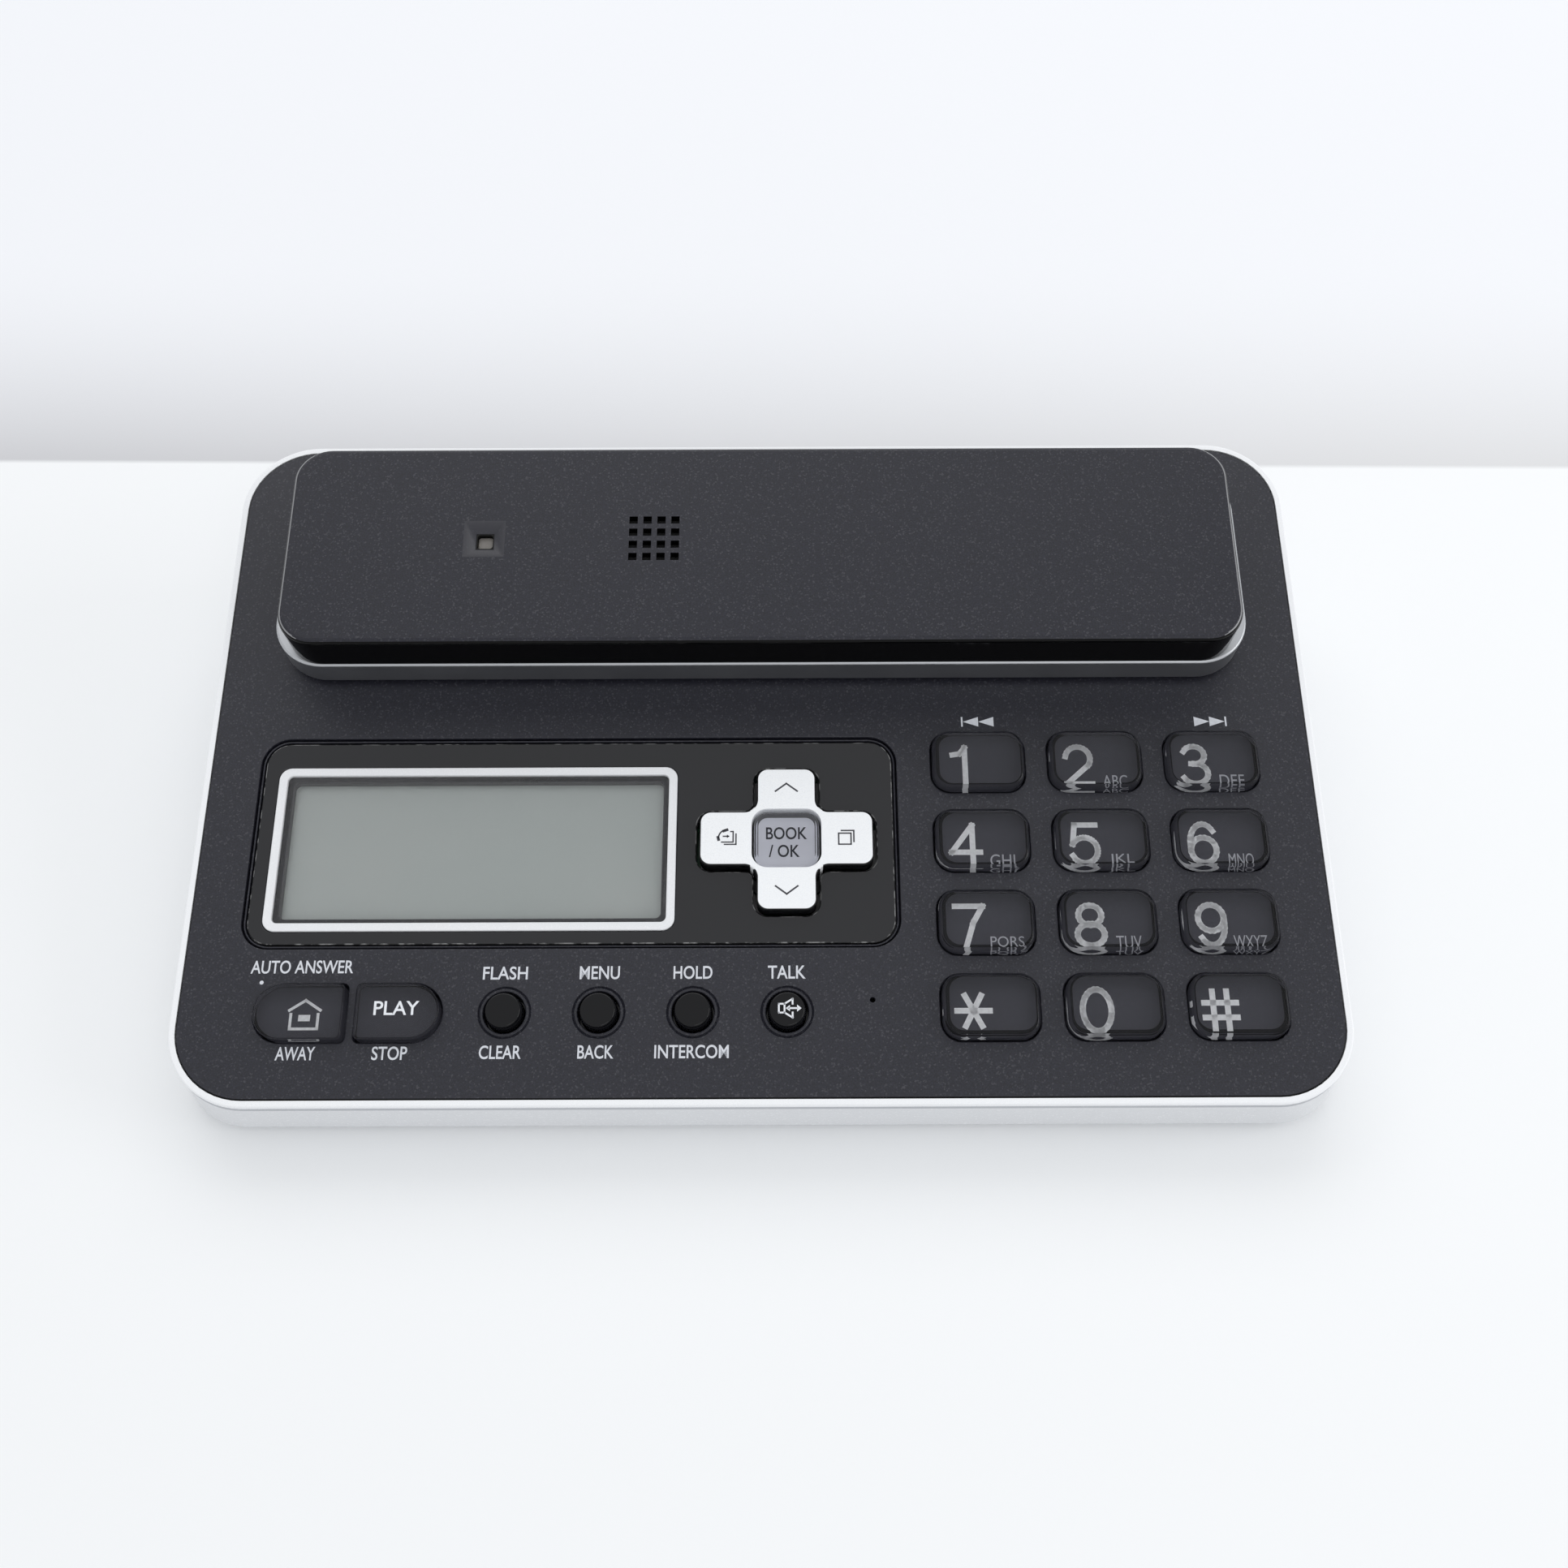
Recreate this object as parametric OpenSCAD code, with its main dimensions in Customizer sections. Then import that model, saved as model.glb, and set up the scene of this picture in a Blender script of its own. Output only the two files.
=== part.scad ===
// Cordless desk phone: a wedge-shaped base with a dial pad and a display, and a slim handset lying in its cradle.
// Lengths are in millimetres. The panel frame has X to the right, Y from the panel's front edge to its rear
// and Z out of the panel's face. place() puts that frame on the sloping base, which stands on Z = 0.

/* [Stance] */
// Slope of the top panel, in degrees
tilt = 10; // [7:0.5:13]
// Height of the panel's front edge above the table
front_h = 13; // [12.5:0.1:17]
// Height of the rubber feet below the case
foot_h = 1; // [0.7:0.1:1.8]

/* [Shells of the base] */
// Thickness of the top panel
panel_t = 2.2; // [1.9:0.1:2.6]
// Corner radius of the top panel
panel_r = 12.4; // [10:0.1:15]
// Width of the silver rim around the panel
rim_w = 1.3; // [1.2:0.05:1.8]
// Clearance between the panel's edge and the rim
rim_gap = 0.15; // [0.1:0.05:0.3]
// Radius of the rim's outer top edge
rim_round = 0.35; // [0.2:0.05:0.6]
// Thickness of the rim's outer flange
rim_t = 1; // [0.8:0.1:1.4]
// Thickness of the rim's web inside the lip of the lower case
rim_web = 0.5; // [0.4:0.05:0.6]
// Width of the rim's inner ledge, which carries the panel
ledge_w = 1.5; // [1.2:0.1:2]
// Thickness of that ledge
ledge_t = 1; // [0.8:0.1:1.4]
// Setback of the lower case under the rim
case_step = 0.05; // [0:0.05:0.2]
// Wall thickness of the lower case
case_wall = 2; // [1.6:0.1:2.4]
// Floor thickness of the lower case
case_floor = 2.4; // [2.1:0.1:3]
// Inward slope of the lower case at the sides, over its height
side_draft = 0; // [0:0.1:2]
// Inward slope of the lower case at the front, over its height
front_draft = 0.4; // [0:0.1:1.5]
// Inward slope of the lower case at the rear, over its height
rear_draft = 2.5; // [1.5:0.1:4]
// Corner radius of the lower case at the floor
floor_r = 12; // [10:0.1:14]
// Rounded-off edge of the floor
floor_edge = 1.4; // [0.8:0.1:2]

/* [Dial pad] */
// Width of a dial key's opening
key_w = 16.9; // [15:0.1:18]
// Depth of a dial key's opening
key_d = 11.66; // [10:0.01:12.6]
// Corner radius of that opening
key_r = 3.5; // [2.5:0.1:4.5]
// Sideways pitch of the dial keys
dial_pitch_x = 20.83; // [19.5:0.01:24]
// Front-to-rear pitch of the dial keys
dial_pitch_y = 14.93; // [14.2:0.01:17]
// Panel left free to the right of the dial pad
dial_margin_x = 9.25; // [8.5:0.05:13]
// Panel left free in front of the dial pad
dial_margin_y = 9.3; // [9:0.1:12]
// How far a dial key stands above the panel
key_rise = 1.9; // [1.3:0.1:2.5]
// Rounded edge of a dial key's top
key_edge = 0.8; // [0.4:0.1:1.1]
// Gap between a key and its opening
key_gap = 0.3; // [0.2:0.05:0.45]

/* [Window plate and display] */
// Panel left free to the left of the plate
plate_margin = 8.65; // [8:0.05:12]
// Distance from the function keys' row to the plate
plate_row_gap = 11.2; // [10.5:0.05:14]
// Corner radius of the plate's opening
plate_r = 5; // [3.5:0.1:6.5]
// Thickness of the plate
plate_t = 1.2; // [1:0.1:1.5]
// How far the plate lies below the panel's face
plate_sink = 0.4; // [0.2:0.05:0.6]
// Width of the groove around the plate
plate_gap = 0.9; // [0.75:0.05:1.2]
// Width of the rib in that groove
plate_rib = 0.35; // [0.25:0.05:0.45]
// Thickness of the panel under the plate
plate_bed = 1.6; // [1.3:0.1:2]
// Gap between the plate and the first column of dial keys
plate_dial_gap = 6.07; // [5:0.01:9]
// Outer width of the display's frame
bezel_w = 70.95; // [62:0.05:80]
// Outer depth of the display's frame
bezel_d = 30.4; // [28:0.1:33]
// Width of the frame's band
bezel_band = 1.5; // [1.2:0.1:2]
// How far the frame stands above the plate
bezel_rise = 0.2; // [0.1:0.05:0.4]
// Outer corner radius of the frame
bezel_r = 2.2; // [1.8:0.1:3]
// Plate between its left edge and the frame
bezel_margin = 3.5; // [2.8:0.1:5]
// Plate between its front edge and the frame
bezel_front = 3.25; // [2.2:0.05:4]
// Plate between its rear edge and the frame
bezel_rear = 5.6; // [4:0.1:6.5]
// How far the four-way key's centre lies behind the display's
nav_offset = 1; // [0:0.1:2]
// Thickness of the clear pane
window_t = 0.9; // [0.7:0.1:1.1]
// Width of the ledge that carries the pane
window_ledge = 1; // [0.8:0.1:1.4]
// Clearance of plate, frame and pane in their seats
seat_gap = 0.1; // [0.05:0.05:0.15]

/* [Four-way key] */
// Width of the cross over its side arms
nav_w = 30.4; // [28:0.1:34]
// Depth of the cross over its front and rear arms
nav_d = 26.3; // [25.5:0.1:28]
// Width of the front and rear arms
nav_arm_x = 10.4; // [9.6:0.1:11.5]
// Width of the side arms
nav_arm_y = 10; // [9.2:0.1:11]
// Corner radius of the arms' ends
nav_r = 2; // [1.2:0.1:3]
// Radius of the fillets between the arms
nav_fillet = 2.2; // [1.8:0.1:2.8]
// How far the cross stands above the panel's face
nav_rise = 1.4; // [0.9:0.1:2]
// Rounded edge of the cross
nav_edge = 0.4; // [0.2:0.05:0.6]
// Gap between the cross and its opening
nav_gap = 0.6; // [0.5:0.05:0.8]
// Rocking angle each way, in degrees
nav_tilt = 2.5; // [1.5:0.1:3]
// Plate between the cross and the frame of the display
nav_display_gap = 4.15; // [3.4:0.05:6]
// Plate between the cross and the plate's right edge
nav_margin = 4.45; // [3.6:0.05:6]
// Width of the select key's opening
select_w = 12.2; // [11.2:0.1:12.6]
// Depth of the select key's opening
select_d = 10.9; // [10:0.1:11.2]
// Corner radius of that opening
select_r = 2.8; // [2.4:0.1:3.4]
// Gap between the select key and its opening
select_gap = 0.4; // [0.35:0.05:0.55]
// How far the select key stands above the panel's face
select_rise = 1.1; // [0.6:0.1:1.5]
// Sloping rounded edge of the select key
select_edge = 0.9; // [0.5:0.1:1.2]
// Travel of the select key
select_travel = 0.6; // [0.4:0.05:0.8]
// Wall of the cross's hub around the select key
hub_wall = 1; // [0.8:0.1:1.3]
// Width of the pivot ring
pivot_ring_w = 1.65; // [1.4:0.05:2]
// Thickness of the pivot ring and the hub
pivot_ring_t = 1.3; // [1.2:0.1:1.5]
// Radius of the pivot pins
pivot_pin_r = 0.4; // [0.3:0.02:0.45]
// Running clearance of the pivot pins
pivot_clear = 0.05; // [0.03:0.01:0.08]

/* [Function keys] */
// Panel between its front edge and the middle of the row
row_y = 14.55; // [14.3:0.05:17]
// Distance of the pill-shaped pair from the left edge of the plate's opening
pill_margin = 3.95; // [3:0.05:6]
// Depth of the pair's pill-shaped opening
pill_d = 10.2; // [8.5:0.1:11]
// Width of the pair's left opening
pill_left_w = 15.8; // [13:0.1:18]
// Width of the pair's right opening
pill_right_w = 14.7; // [13:0.1:17]
// Bridge between the two openings
pill_bridge = 1.4; // [1.2:0.1:2.4]
// Corner radius at the bridge
pill_r = 1; // [0.8:0.1:1.6]
// How far the pair stands above the panel
pill_rise = 1.6; // [1:0.1:2.2]
// Rounded edge of the pair's tops
pill_edge = 0.6; // [0.3:0.1:0.8]
// Distance from the pair to the first round key's axis
round_first = 10.4; // [8.5:0.1:12]
// Radius of a round key's hole
round_r = 3.57; // [3.2:0.01:4]
// How far a round key stands above the panel
round_rise = 2; // [1.4:0.1:2.6]
// Radius of the groove around a round key
groove_r = 4.28; // [4.2:0.01:5]
// Width of that groove
groove_w = 0.25; // [0.15:0.05:0.4]
// Depth of that groove
groove_depth = 0.3; // [0.2:0.05:0.5]
// Radius of the microphone hole
mic_hole_r = 0.45; // [0.3:0.05:0.7]
// Distance from the last round key to the microphone hole
mic_hole_x = 14.4; // [12.5:0.1:16]

/* [Under the panel] */
// Width of the flange that keeps a key in its opening
flange_w = 0.8; // [0.6:0.05:0.9]
// Thickness of that flange
flange_t = 0.9; // [0.7:0.05:1.1]
// Play between the flange and the panel
flange_gap = 0.1; // [0.05:0.05:0.2]
// Length of a key's plunger
stem_h = 1; // [0.8:0.1:1.4]
// Radius of a key's plunger
stem_r = 2; // [1.5:0.1:2.4]
// Travel of the dial, pill and round keys
key_travel = 0.8; // [0.5:0.05:1]
// Clearance left above a dome when its key is pressed home
dome_gap = 0.15; // [0.1:0.05:0.3]
// Height of the domes on the mat
dome_h = 0.5; // [0.3:0.05:0.8]
// Thickness of the silicone mat
mat_t = 0.8; // [0.6:0.1:1.1]
// How far the mat reaches past the keys
mat_border = 1.6; // [1:0.1:2]
// Thickness of the circuit boards
board_t = 1.6; // [1.2:0.1:1.8]
// Gap between the board's edge and the panel's edge
board_margin = 3.2; // [3:0.1:4.5]
// Width of the radio shield under the board
shield_w = 34; // [28:0.5:38]
// Depth of the radio shield
shield_d = 22; // [18:0.5:24]
// Height of the radio shield
shield_h = 2.4; // [1.8:0.1:3]
// Side of the processor under the board
chip_w = 14; // [10:0.5:16]
// Height of the processor
chip_h = 1.6; // [1.2:0.1:2]
// Radius of the capacitors under the board
cap_r = 3; // [2.5:0.1:3.4]
// Height of the capacitors
cap_h = 5; // [4:0.1:6]

/* [Cradle and handset] */
// Length of the handset over its band
hs_l = 175; // [165:0.5:185]
// Width of the handset over its band
hs_w = 40.6; // [38:0.1:46]
// Plan corner radius of the band
hs_r = 9; // [7.5:0.1:11]
// Panel between the dial pad and the handset
hs_gap = 10.25; // [8.5:0.05:14]
// Panel behind the handset
hs_margin_y = 9; // [8.5:0.1:12]
// Panel beside the handset
hs_margin_x = 10.5; // [9.5:0.1:14]
// Gap between the panel and the handset's band
hs_lift = 1.2; // [0.8:0.1:1.8]
// Height of the silver band
band_h = 6.1; // [5:0.1:7]
// Wall thickness of the band
band_t = 2.6; // [2.3:0.1:2.9]
// Rounded edges of the band
band_edge = 0.5; // [0.3:0.1:0.8]
// Setback of the back shell along the band's long sides
back_inset_y = 0.35; // [0.2:0.05:0.8]
// Setback of the back shell at the ends of the band
back_inset_x = 2.7; // [2:0.1:3.2]
// Plan corner radius of the back shell
back_r = 6.5; // [5:0.1:8]
// Height of the lip on which the ends of the back shell stand
band_lip = 1; // [0.8:0.1:1.4]
// Height of the back shell
back_h = 8.2; // [7:0.1:10]
// Side wall of the back shell
back_wall = 1.8; // [1.6:0.1:2.2]
// Thickness of the back
back_t = 1.6; // [1.4:0.1:2]
// Rounded top edge of the back shell
back_edge = 1; // [0.6:0.1:1.6]
// Setback of the face shell under the band
front_inset = 3; // [2.8:0.1:3.6]
// How far the face shell reaches below the band
front_drop = 4.4; // [4:0.1:5]
// Wall thickness of the face shell
front_wall = 1.6; // [1.4:0.1:1.9]
// Width of the lip that carries the band
lip_w = 1.2; // [0.9:0.1:1.5]
// Thickness of that lip
lip_t = 1; // [0.8:0.1:1.3]
// Clearance between handset and cradle
cradle_gap = 0.8; // [0.5:0.1:1.2]
// Play between the handset and the ledges that carry it
rest_gap = 0.1; // [0.05:0.05:0.2]
// Thickness of the cradle's floor and walls
cradle_t = 1.6; // [1.4:0.1:2]
// Length of the cradle's end ledges
cradle_ledge = 27; // [25:0.5:28]
// Clearance below the handset's keys
cradle_clear = 0.8; // [0.5:0.1:1.2]

/* [Details of the handset] */
// Distance of the lamp recess from the ear end
lamp_x = 38.15; // [36:0.05:40]
// Side of the lamp recess
lamp_w = 7.4; // [6:0.1:8.5]
// Side of the lamp lens
lens_w = 3; // [2.4:0.1:3.6]
// Depth of the lamp recess
lamp_depth = 1.1; // [0.8:0.05:1.2]
// Distance of the sound grille from the ear end
grille_x = 68.5; // [66:0.1:72]
// Holes of the grille along each side
grille_n = 4; // [3:1:5]
// Pitch of the grille's holes
grille_pitch = 2.5; // [2.1:0.05:2.8]
// Side of a grille hole
grille_hole = 1.5; // [1.1:0.05:1.7]
// Radius of the ringer
ringer_r = 7.5; // [7:0.1:8.5]
// Thickness of the ringer
ringer_h = 3.6; // [3:0.1:4.2]
// Distance of the ear slots from the ear end
ear_x = 17.5; // [17:0.1:18.5]
// Radius of the receiver
receiver_r = 8.5; // [8:0.1:9]
// Thickness of the receiver
receiver_h = 4; // [3:0.1:5]
// Length of a handset key's opening
hs_key_l = 13; // [11:0.1:14]
// Width of a handset key's opening
hs_key_w = 9; // [8:0.1:9.8]
// Corner radius of that opening
hs_key_r = 2.5; // [1.8:0.1:3.5]
// Pitch of the handset keys along the handset
hs_pitch_x = 17; // [16:0.1:18]
// Pitch of the handset keys across the handset
hs_pitch_y = 12.4; // [11.9:0.1:13]
// Distance of the first handset keys from the ear end
hs_key_x = 42; // [40:0.1:44]
// How far the handset keys stand out of the face
hs_key_rise = 1; // [0.7:0.1:1.3]
// Travel of the handset keys
hs_travel = 0.7; // [0.5:0.05:0.9]
// Thickness of the handset's board
hs_board_t = 1.2; // [1:0.1:1.6]
// Length of the battery bay
bay_l = 50; // [48:0.5:52]
// Width of the battery bay
bay_w = 24; // [23:0.1:25]
// Distance of the battery bay from the mouth end
bay_x = 31; // [30.5:0.1:33]
// Radius of a battery cell
cell_r = 5.25; // [4.8:0.05:5.4]
// Room for a clip at each end of the battery cells
cell_end = 2.75; // [2.5:0.05:4]
// Distance of the charging pads from the mouth end
pad_x = 21.5; // [21:0.1:22]
// Distance of the charging pads from the handset's centre line
pad_y = 5.2; // [5:0.1:6]
// Length of a charging pad's window
pad_l = 7.4; // [7:0.1:7.6]
// Width of a charging pad's window
pad_w = 4; // [3.6:0.1:4.4]
// Distance of the microphone from the mouth end
hs_mic_x = 13; // [12.5:0.1:13.5]
// Radius of the microphone capsules
mic_r = 2.5; // [2.2:0.1:2.7]
// Height of the handset's microphone capsule
hs_mic_h = 2.2; // [1.8:0.1:2.6]

/* [Underside and rear] */
// Radius of a rubber foot
foot_r = 6; // [5:0.1:7]
// Depth of a foot's seat in the floor
foot_seat = 0.9; // [0.6:0.1:1.1]
// Distance of the feet from the floor's edges
foot_inset = 16; // [15:0.5:20]
// Radius of the loudspeaker
speaker_r = 16; // [14:0.5:18]
// Height of the loudspeaker
speaker_h = 8; // [7:0.1:9]
// Distance of the loudspeaker from the middle
speaker_x = 48; // [44:0.5:52]
// Width of a sound slot in the floor
slot_w = 2; // [1.5:0.1:2.4]
// Pitch of the sound slots
slot_pitch = 4; // [3.4:0.1:4.6]
// Width of the line jack
jack_w = 13.2; // [12.6:0.1:14]
// Height of the line jack
jack_h = 11.6; // [11.2:0.1:12.4]
// Depth of the jacks
jack_l = 15; // [14:0.1:16]
// Width of the line jack's socket
socket_w = 9.8; // [9.6:0.1:10]
// Height of the line jack's socket
socket_h = 6.8; // [6.6:0.1:7]
// Depth of the line jack's socket
socket_l = 12; // [11:0.1:12.5]
// Side of the power jack
power_w = 9.4; // [9:0.1:10]
// Radius of the power jack's barrel
power_r = 2.9; // [2.8:0.05:3.1]
// Radius of the power jack's centre pin
power_pin_r = 1; // [0.8:0.05:1.1]
// Depth of the power jack's barrel
power_l = 10; // [9:0.1:11]
// Distance of the line jack from the middle
jack_x = 30; // [28:0.5:34]
// Distance between the two jacks
jack_pitch = 18; // [16:0.5:20]
// Gap around a jack in the rear wall
jack_gap = 0.3; // [0.2:0.05:0.4]
// Setback of the jacks' faces in the rear wall
jack_setback = 1.2; // [1:0.1:1.5]
// Height of the jack board above the floor
jack_post = 3; // [2:0.1:4]

/* [Fasteners] */
// Radius of the case screws' shanks
screw_r = 1.2; // [1:0.05:1.3]
// Radius of the case screws' heads
screw_head_r = 2.5; // [2.2:0.1:2.6]
// Height of the screw heads
screw_head_h = 1.6; // [1.3:0.1:1.9]
// Length of the case screws' shanks
screw_l = 7; // [6.5:0.1:7.5]
// Outer radius of the panel's screw bosses
boss_r = 2.5; // [2.3:0.1:2.6]
// Outer radius of the case's screw posts
post_r = 4; // [3.8:0.1:4.4]
// Distance of the front screws from the panel's corner sides
screw_inset = 7.5; // [7.3:0.1:7.9]
// Distance of the rear screws, beside the cradle, from the panel's sides
rear_screw_x = 6.7; // [6.5:0.1:7]
// Radius of the board screws' shanks
board_screw_r = 0.9; // [0.7:0.05:1]
// Radius of the board screws' heads
board_head_r = 1.9; // [1.7:0.1:2]
// Length of the board screws' shanks
board_screw_l = 5; // [4.5:0.1:5.2]
// Radius of the handset screws' shanks
hs_screw_r = 0.9; // [0.7:0.05:1]
// Radius of the handset screws' heads
hs_head_r = 1.9; // [1.7:0.1:2]
// Distance of the handset screws from its ends
hs_screw_inset = 8; // [7.7:0.1:8.4]
// Distance of the handset screws from its sides
hs_screw_side = 11.3; // [11:0.1:11.8]
// Clearance around a screw's shank in its boss
screw_gap = 0.05; // [0.03:0.01:0.08]
// Clearance around a screw's shank in the piece that it clamps
through_gap = 0.4; // [0.3:0.05:0.5]

/* [Hidden] */
$fn = 64;
shell_fn = 64;
skin = 0.01;
far = 60;
dial_names = ["1", "2", "3", "4", "5", "6", "7", "8", "9", "star", "0", "hash"];
round_names = ["clear_key", "menu_key", "hold_key", "speaker_key"];
hs_key_names = ["handset_talk_key", "handset_off_key", "handset_volume_key", "handset_hold_key"];

// Plan of the panel: the window block stands at the left, the dial pad at the right
dial_cols = 3;
dial_rows = 4;
dial_w = (dial_cols - 1) * dial_pitch_x + key_w;
dial_d = (dial_rows - 1) * dial_pitch_y + key_d;
plate_w = bezel_margin + bezel_w + nav_display_gap + nav_w + nav_margin;
plate_d = bezel_front + bezel_d + bezel_rear;
controls_w = plate_margin + plate_w + plate_dial_gap + dial_w + dial_margin_x;
panel_w = max(controls_w, hs_l + 2 * hs_margin_x);
plate_x0 = -panel_w / 2 + plate_margin;
plate_y0 = row_y + plate_row_gap;
plate_c = [plate_x0 + plate_w / 2, plate_y0 + plate_d / 2];
controls_d = max(dial_margin_y + dial_d, plate_y0 + plate_d);
panel_d = controls_d + hs_gap + hs_w + hs_margin_y;
hs_y = panel_d - hs_margin_y - hs_w / 2;
bezel_c = [plate_x0 + bezel_margin + bezel_w / 2, plate_y0 + bezel_front + bezel_d / 2];
pane_w = bezel_w - 2 * bezel_band;
pane_d = bezel_d - 2 * bezel_band;
aperture_w = pane_w - 2 * window_ledge;
aperture_d = pane_d - 2 * window_ledge;
nav_c = [plate_x0 + plate_w - nav_margin - nav_w / 2, bezel_c[1] + nav_offset];
dial_x0 = panel_w / 2 - dial_margin_x - dial_w + key_w / 2;
dial_y0 = dial_margin_y + key_d / 2;
pill_x0 = plate_x0 + pill_margin;
pill_x1 = pill_x0 + pill_left_w + pill_bridge + pill_right_w;
round_count = len(round_names);
round_x0 = pill_x1 + round_first;
round_pitch = (nav_c[0] - round_x0) / (round_count - 1);
mic_c = [nav_c[0] + mic_hole_x, row_y + 2];

// Heights of the base's layers in the panel frame
plate_z = -plate_sink;
bed_z = plate_z - plate_t;
pad_z = bed_z - plate_bed;
flange_z = -panel_t - flange_gap;
stem_z = flange_z - flange_t - stem_h;
dome_z = stem_z - key_travel - dome_gap;
hub_r = norm([select_w / 2 - select_r, select_d / 2 - select_r]) + select_r + hub_wall;
ring_gap = 0.25;
ring_ri = hub_r + ring_gap;
ring_ro = ring_ri + pivot_ring_w;
swing = ring_ro * sin(nav_tilt);
swing_clear = 0.1;
ring_z = pad_z - swing - swing_clear;
pivot_z = ring_z - pivot_ring_t / 2;
mat_z = min(dome_z - dome_h, ring_z - pivot_ring_t - swing - swing_clear);
board_z = mat_z - mat_t;
rim_h = panel_t + ledge_t;
web_out = rim_gap + rim_web;
lip_in = web_out + seat_gap;
arm_t = nav_rise + 2.2;
plunger_r = 1.1;
plunger_z = ring_z - pivot_ring_t + 0.3;
select_z = plunger_z;
select_dome_z = select_z - select_travel - dome_gap;

// Heights of the handset's layers, which lies face down
band_z1 = hs_lift + band_h;
band_mid_z = hs_lift + band_h / 2;
back_z1 = band_z1 + back_h;
back_in_z = back_z1 - back_t;
face_z = hs_lift - front_drop;
face_in_z = face_z + front_wall;
rest_z = face_z - rest_gap;
well_z = face_z - hs_key_rise - cradle_clear;
well_bottom = well_z - cradle_t;
well_l = hs_l - 2 * front_inset + 2 * cradle_gap;
well_w = hs_w - 2 * front_inset + 2 * cradle_gap;
well_r = hs_r - front_inset + cradle_gap;
hs_flange_z = face_in_z + flange_gap;
hs_stem_z = hs_flange_z + flange_t + stem_h;
hs_dome_z = hs_stem_z + hs_travel + dome_gap;
hs_mat_z = hs_dome_z + dome_h;
hs_board_z = hs_mat_z + mat_t;
hs_board_top = hs_board_z + hs_board_t;
hs_post_z = hs_board_top + 1;
hs_screw_y = hs_w / 2 - hs_screw_side;
lamp_c = [-hs_l / 2 + lamp_x, 0.8];
grille_c = [-hs_l / 2 + grille_x, 0.8];
ear_c = [-hs_l / 2 + ear_x, 0];
hs_mic_c = [hs_l / 2 - hs_mic_x, 0];
bay_c = [hs_l / 2 - bay_x - bay_l / 2, 0];
cell_l = bay_l - 2 * cell_end;
leaf_w = pad_w - 1.6;
leaf_l = pad_l - 1.4;
leaf_t = 0.5;
hs_board_x0 = ear_c[0] + receiver_r + 2.4;
hs_board_x1 = bay_c[0] - bay_l / 2 - 2.4;
hs_board_w = hs_w - 2 * front_inset - 2 * front_wall - 1;
hs_pegs = [for (x = [hs_board_x0 + 3, hs_board_x1 - 3], s = [-1, 1]) [x, s * (hs_board_w / 2 - 2.2)]];
peg_r = 0.8;

// Stance of the base on the table
base_y_low = (-rim_w + rim_round) * cos(tilt) + rim_round * sin(tilt) - rim_round;
base_y_high = (panel_d + rim_w) * cos(tilt) + rim_t * sin(tilt);
base_y = -(base_y_low + base_y_high) / 2;
case_top_w = panel_w + 2 * (rim_w - case_step);
case_top_d = panel_d + 2 * (rim_w - case_step);
case_top_r = panel_r + rim_w - case_step;
case_front_y = base_y + (case_step - rim_w) * cos(tilt) + rim_t * sin(tilt);
case_rear_y = case_front_y + case_top_d * cos(tilt);
floor_w = case_top_w - 2 * side_draft;
floor_y0 = case_front_y + front_draft;
floor_y1 = case_rear_y - rear_draft;
floor_d = floor_y1 - floor_y0;
floor_c = (floor_y0 + floor_y1) / 2;
floor_in_z = foot_h + case_floor;
case_rear_top = front_h + (panel_d + rim_w - case_step) * sin(tilt) - rim_t * cos(tilt);
screw_seat_z = board_z - board_t - 2.4;
boss_z = screw_seat_z + 3.4;
jack_board_z = floor_in_z + jack_post;
jack_z = jack_board_z + board_t;
jack_mid_z = jack_z + jack_h / 2;
jack_face_y = rear_wall_y(jack_z) - jack_setback;
jack_board_d = jack_l + 8;
jack_board_w = jack_pitch + jack_w + 18;
jack_board_c = [jack_x + jack_pitch / 2, floor_y1 - case_wall - 0.4 - jack_board_d / 2];
jack_peg_x = jack_board_w / 2 - 4;
speaker_y = 22;
hs_keys = [for (sy = [1, -1], sx = [0, 1])
    [-hs_l / 2 + hs_key_x + sx * hs_pitch_x, sy * hs_pitch_y / 2]];
case_screw_places = concat(
    [for (s = [-1, 1]) [s * (panel_w / 2 - screw_inset), screw_inset]],
    [for (s = [-1, 1]) [s * (panel_w / 2 - rear_screw_x), hs_y]]
);
board_front_y = 4;
board_rear_y = hs_y - well_w / 2 - cradle_t - 1.2;
board_boss_x = panel_w / 2 - 5.6;
board_boss_r = 2.2;
board_bosses = [for (s = [-1, 1], y = [row_y + 8, controls_d + 3]) [s * board_boss_x, y]];

// Outer face of the rear wall at a height above the table
function rear_wall_y(z) =
    floor_y1 + (case_rear_y - floor_y1) * (z - foot_h - floor_edge) / (case_rear_top - foot_h - floor_edge);

// Height of the table-level plane zt in the panel frame, at depth y
function level_z(y, zt) = (zt - front_h - y * sin(tilt)) / cos(tilt);

// Centre of dial key i in the panel's plane
function dial_place(i) = [
    dial_x0 + (i % dial_cols) * dial_pitch_x,
    dial_y0 + (dial_rows - 1 - floor(i / dial_cols)) * dial_pitch_y
];

// Sets the panel frame on the sloping base
module place() {
    translate([0, base_y, front_h]) rotate([tilt, 0, 0]) children();
}

// Sets the handset's frame: X along it, Y across it, heights as in the panel frame
module at_handset() {
    place() translate([0, hs_y, 0]) children();
}

// Rectangle with round corners, about its centre
module rounded(w, d, r) {
    square([w - 2 * r, d], center = true);
    square([w, d - 2 * r], center = true);
    for (sx = [-1, 1], sy = [-1, 1])
        translate([sx * (w / 2 - r), sy * (d / 2 - r)]) circle(r);
}

// Plate with round corners from height z0 to z1
module slab(w, d, r, z0, z1) {
    translate([0, 0, z0]) linear_extrude(z1 - z0) rounded(w, d, r);
}

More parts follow.
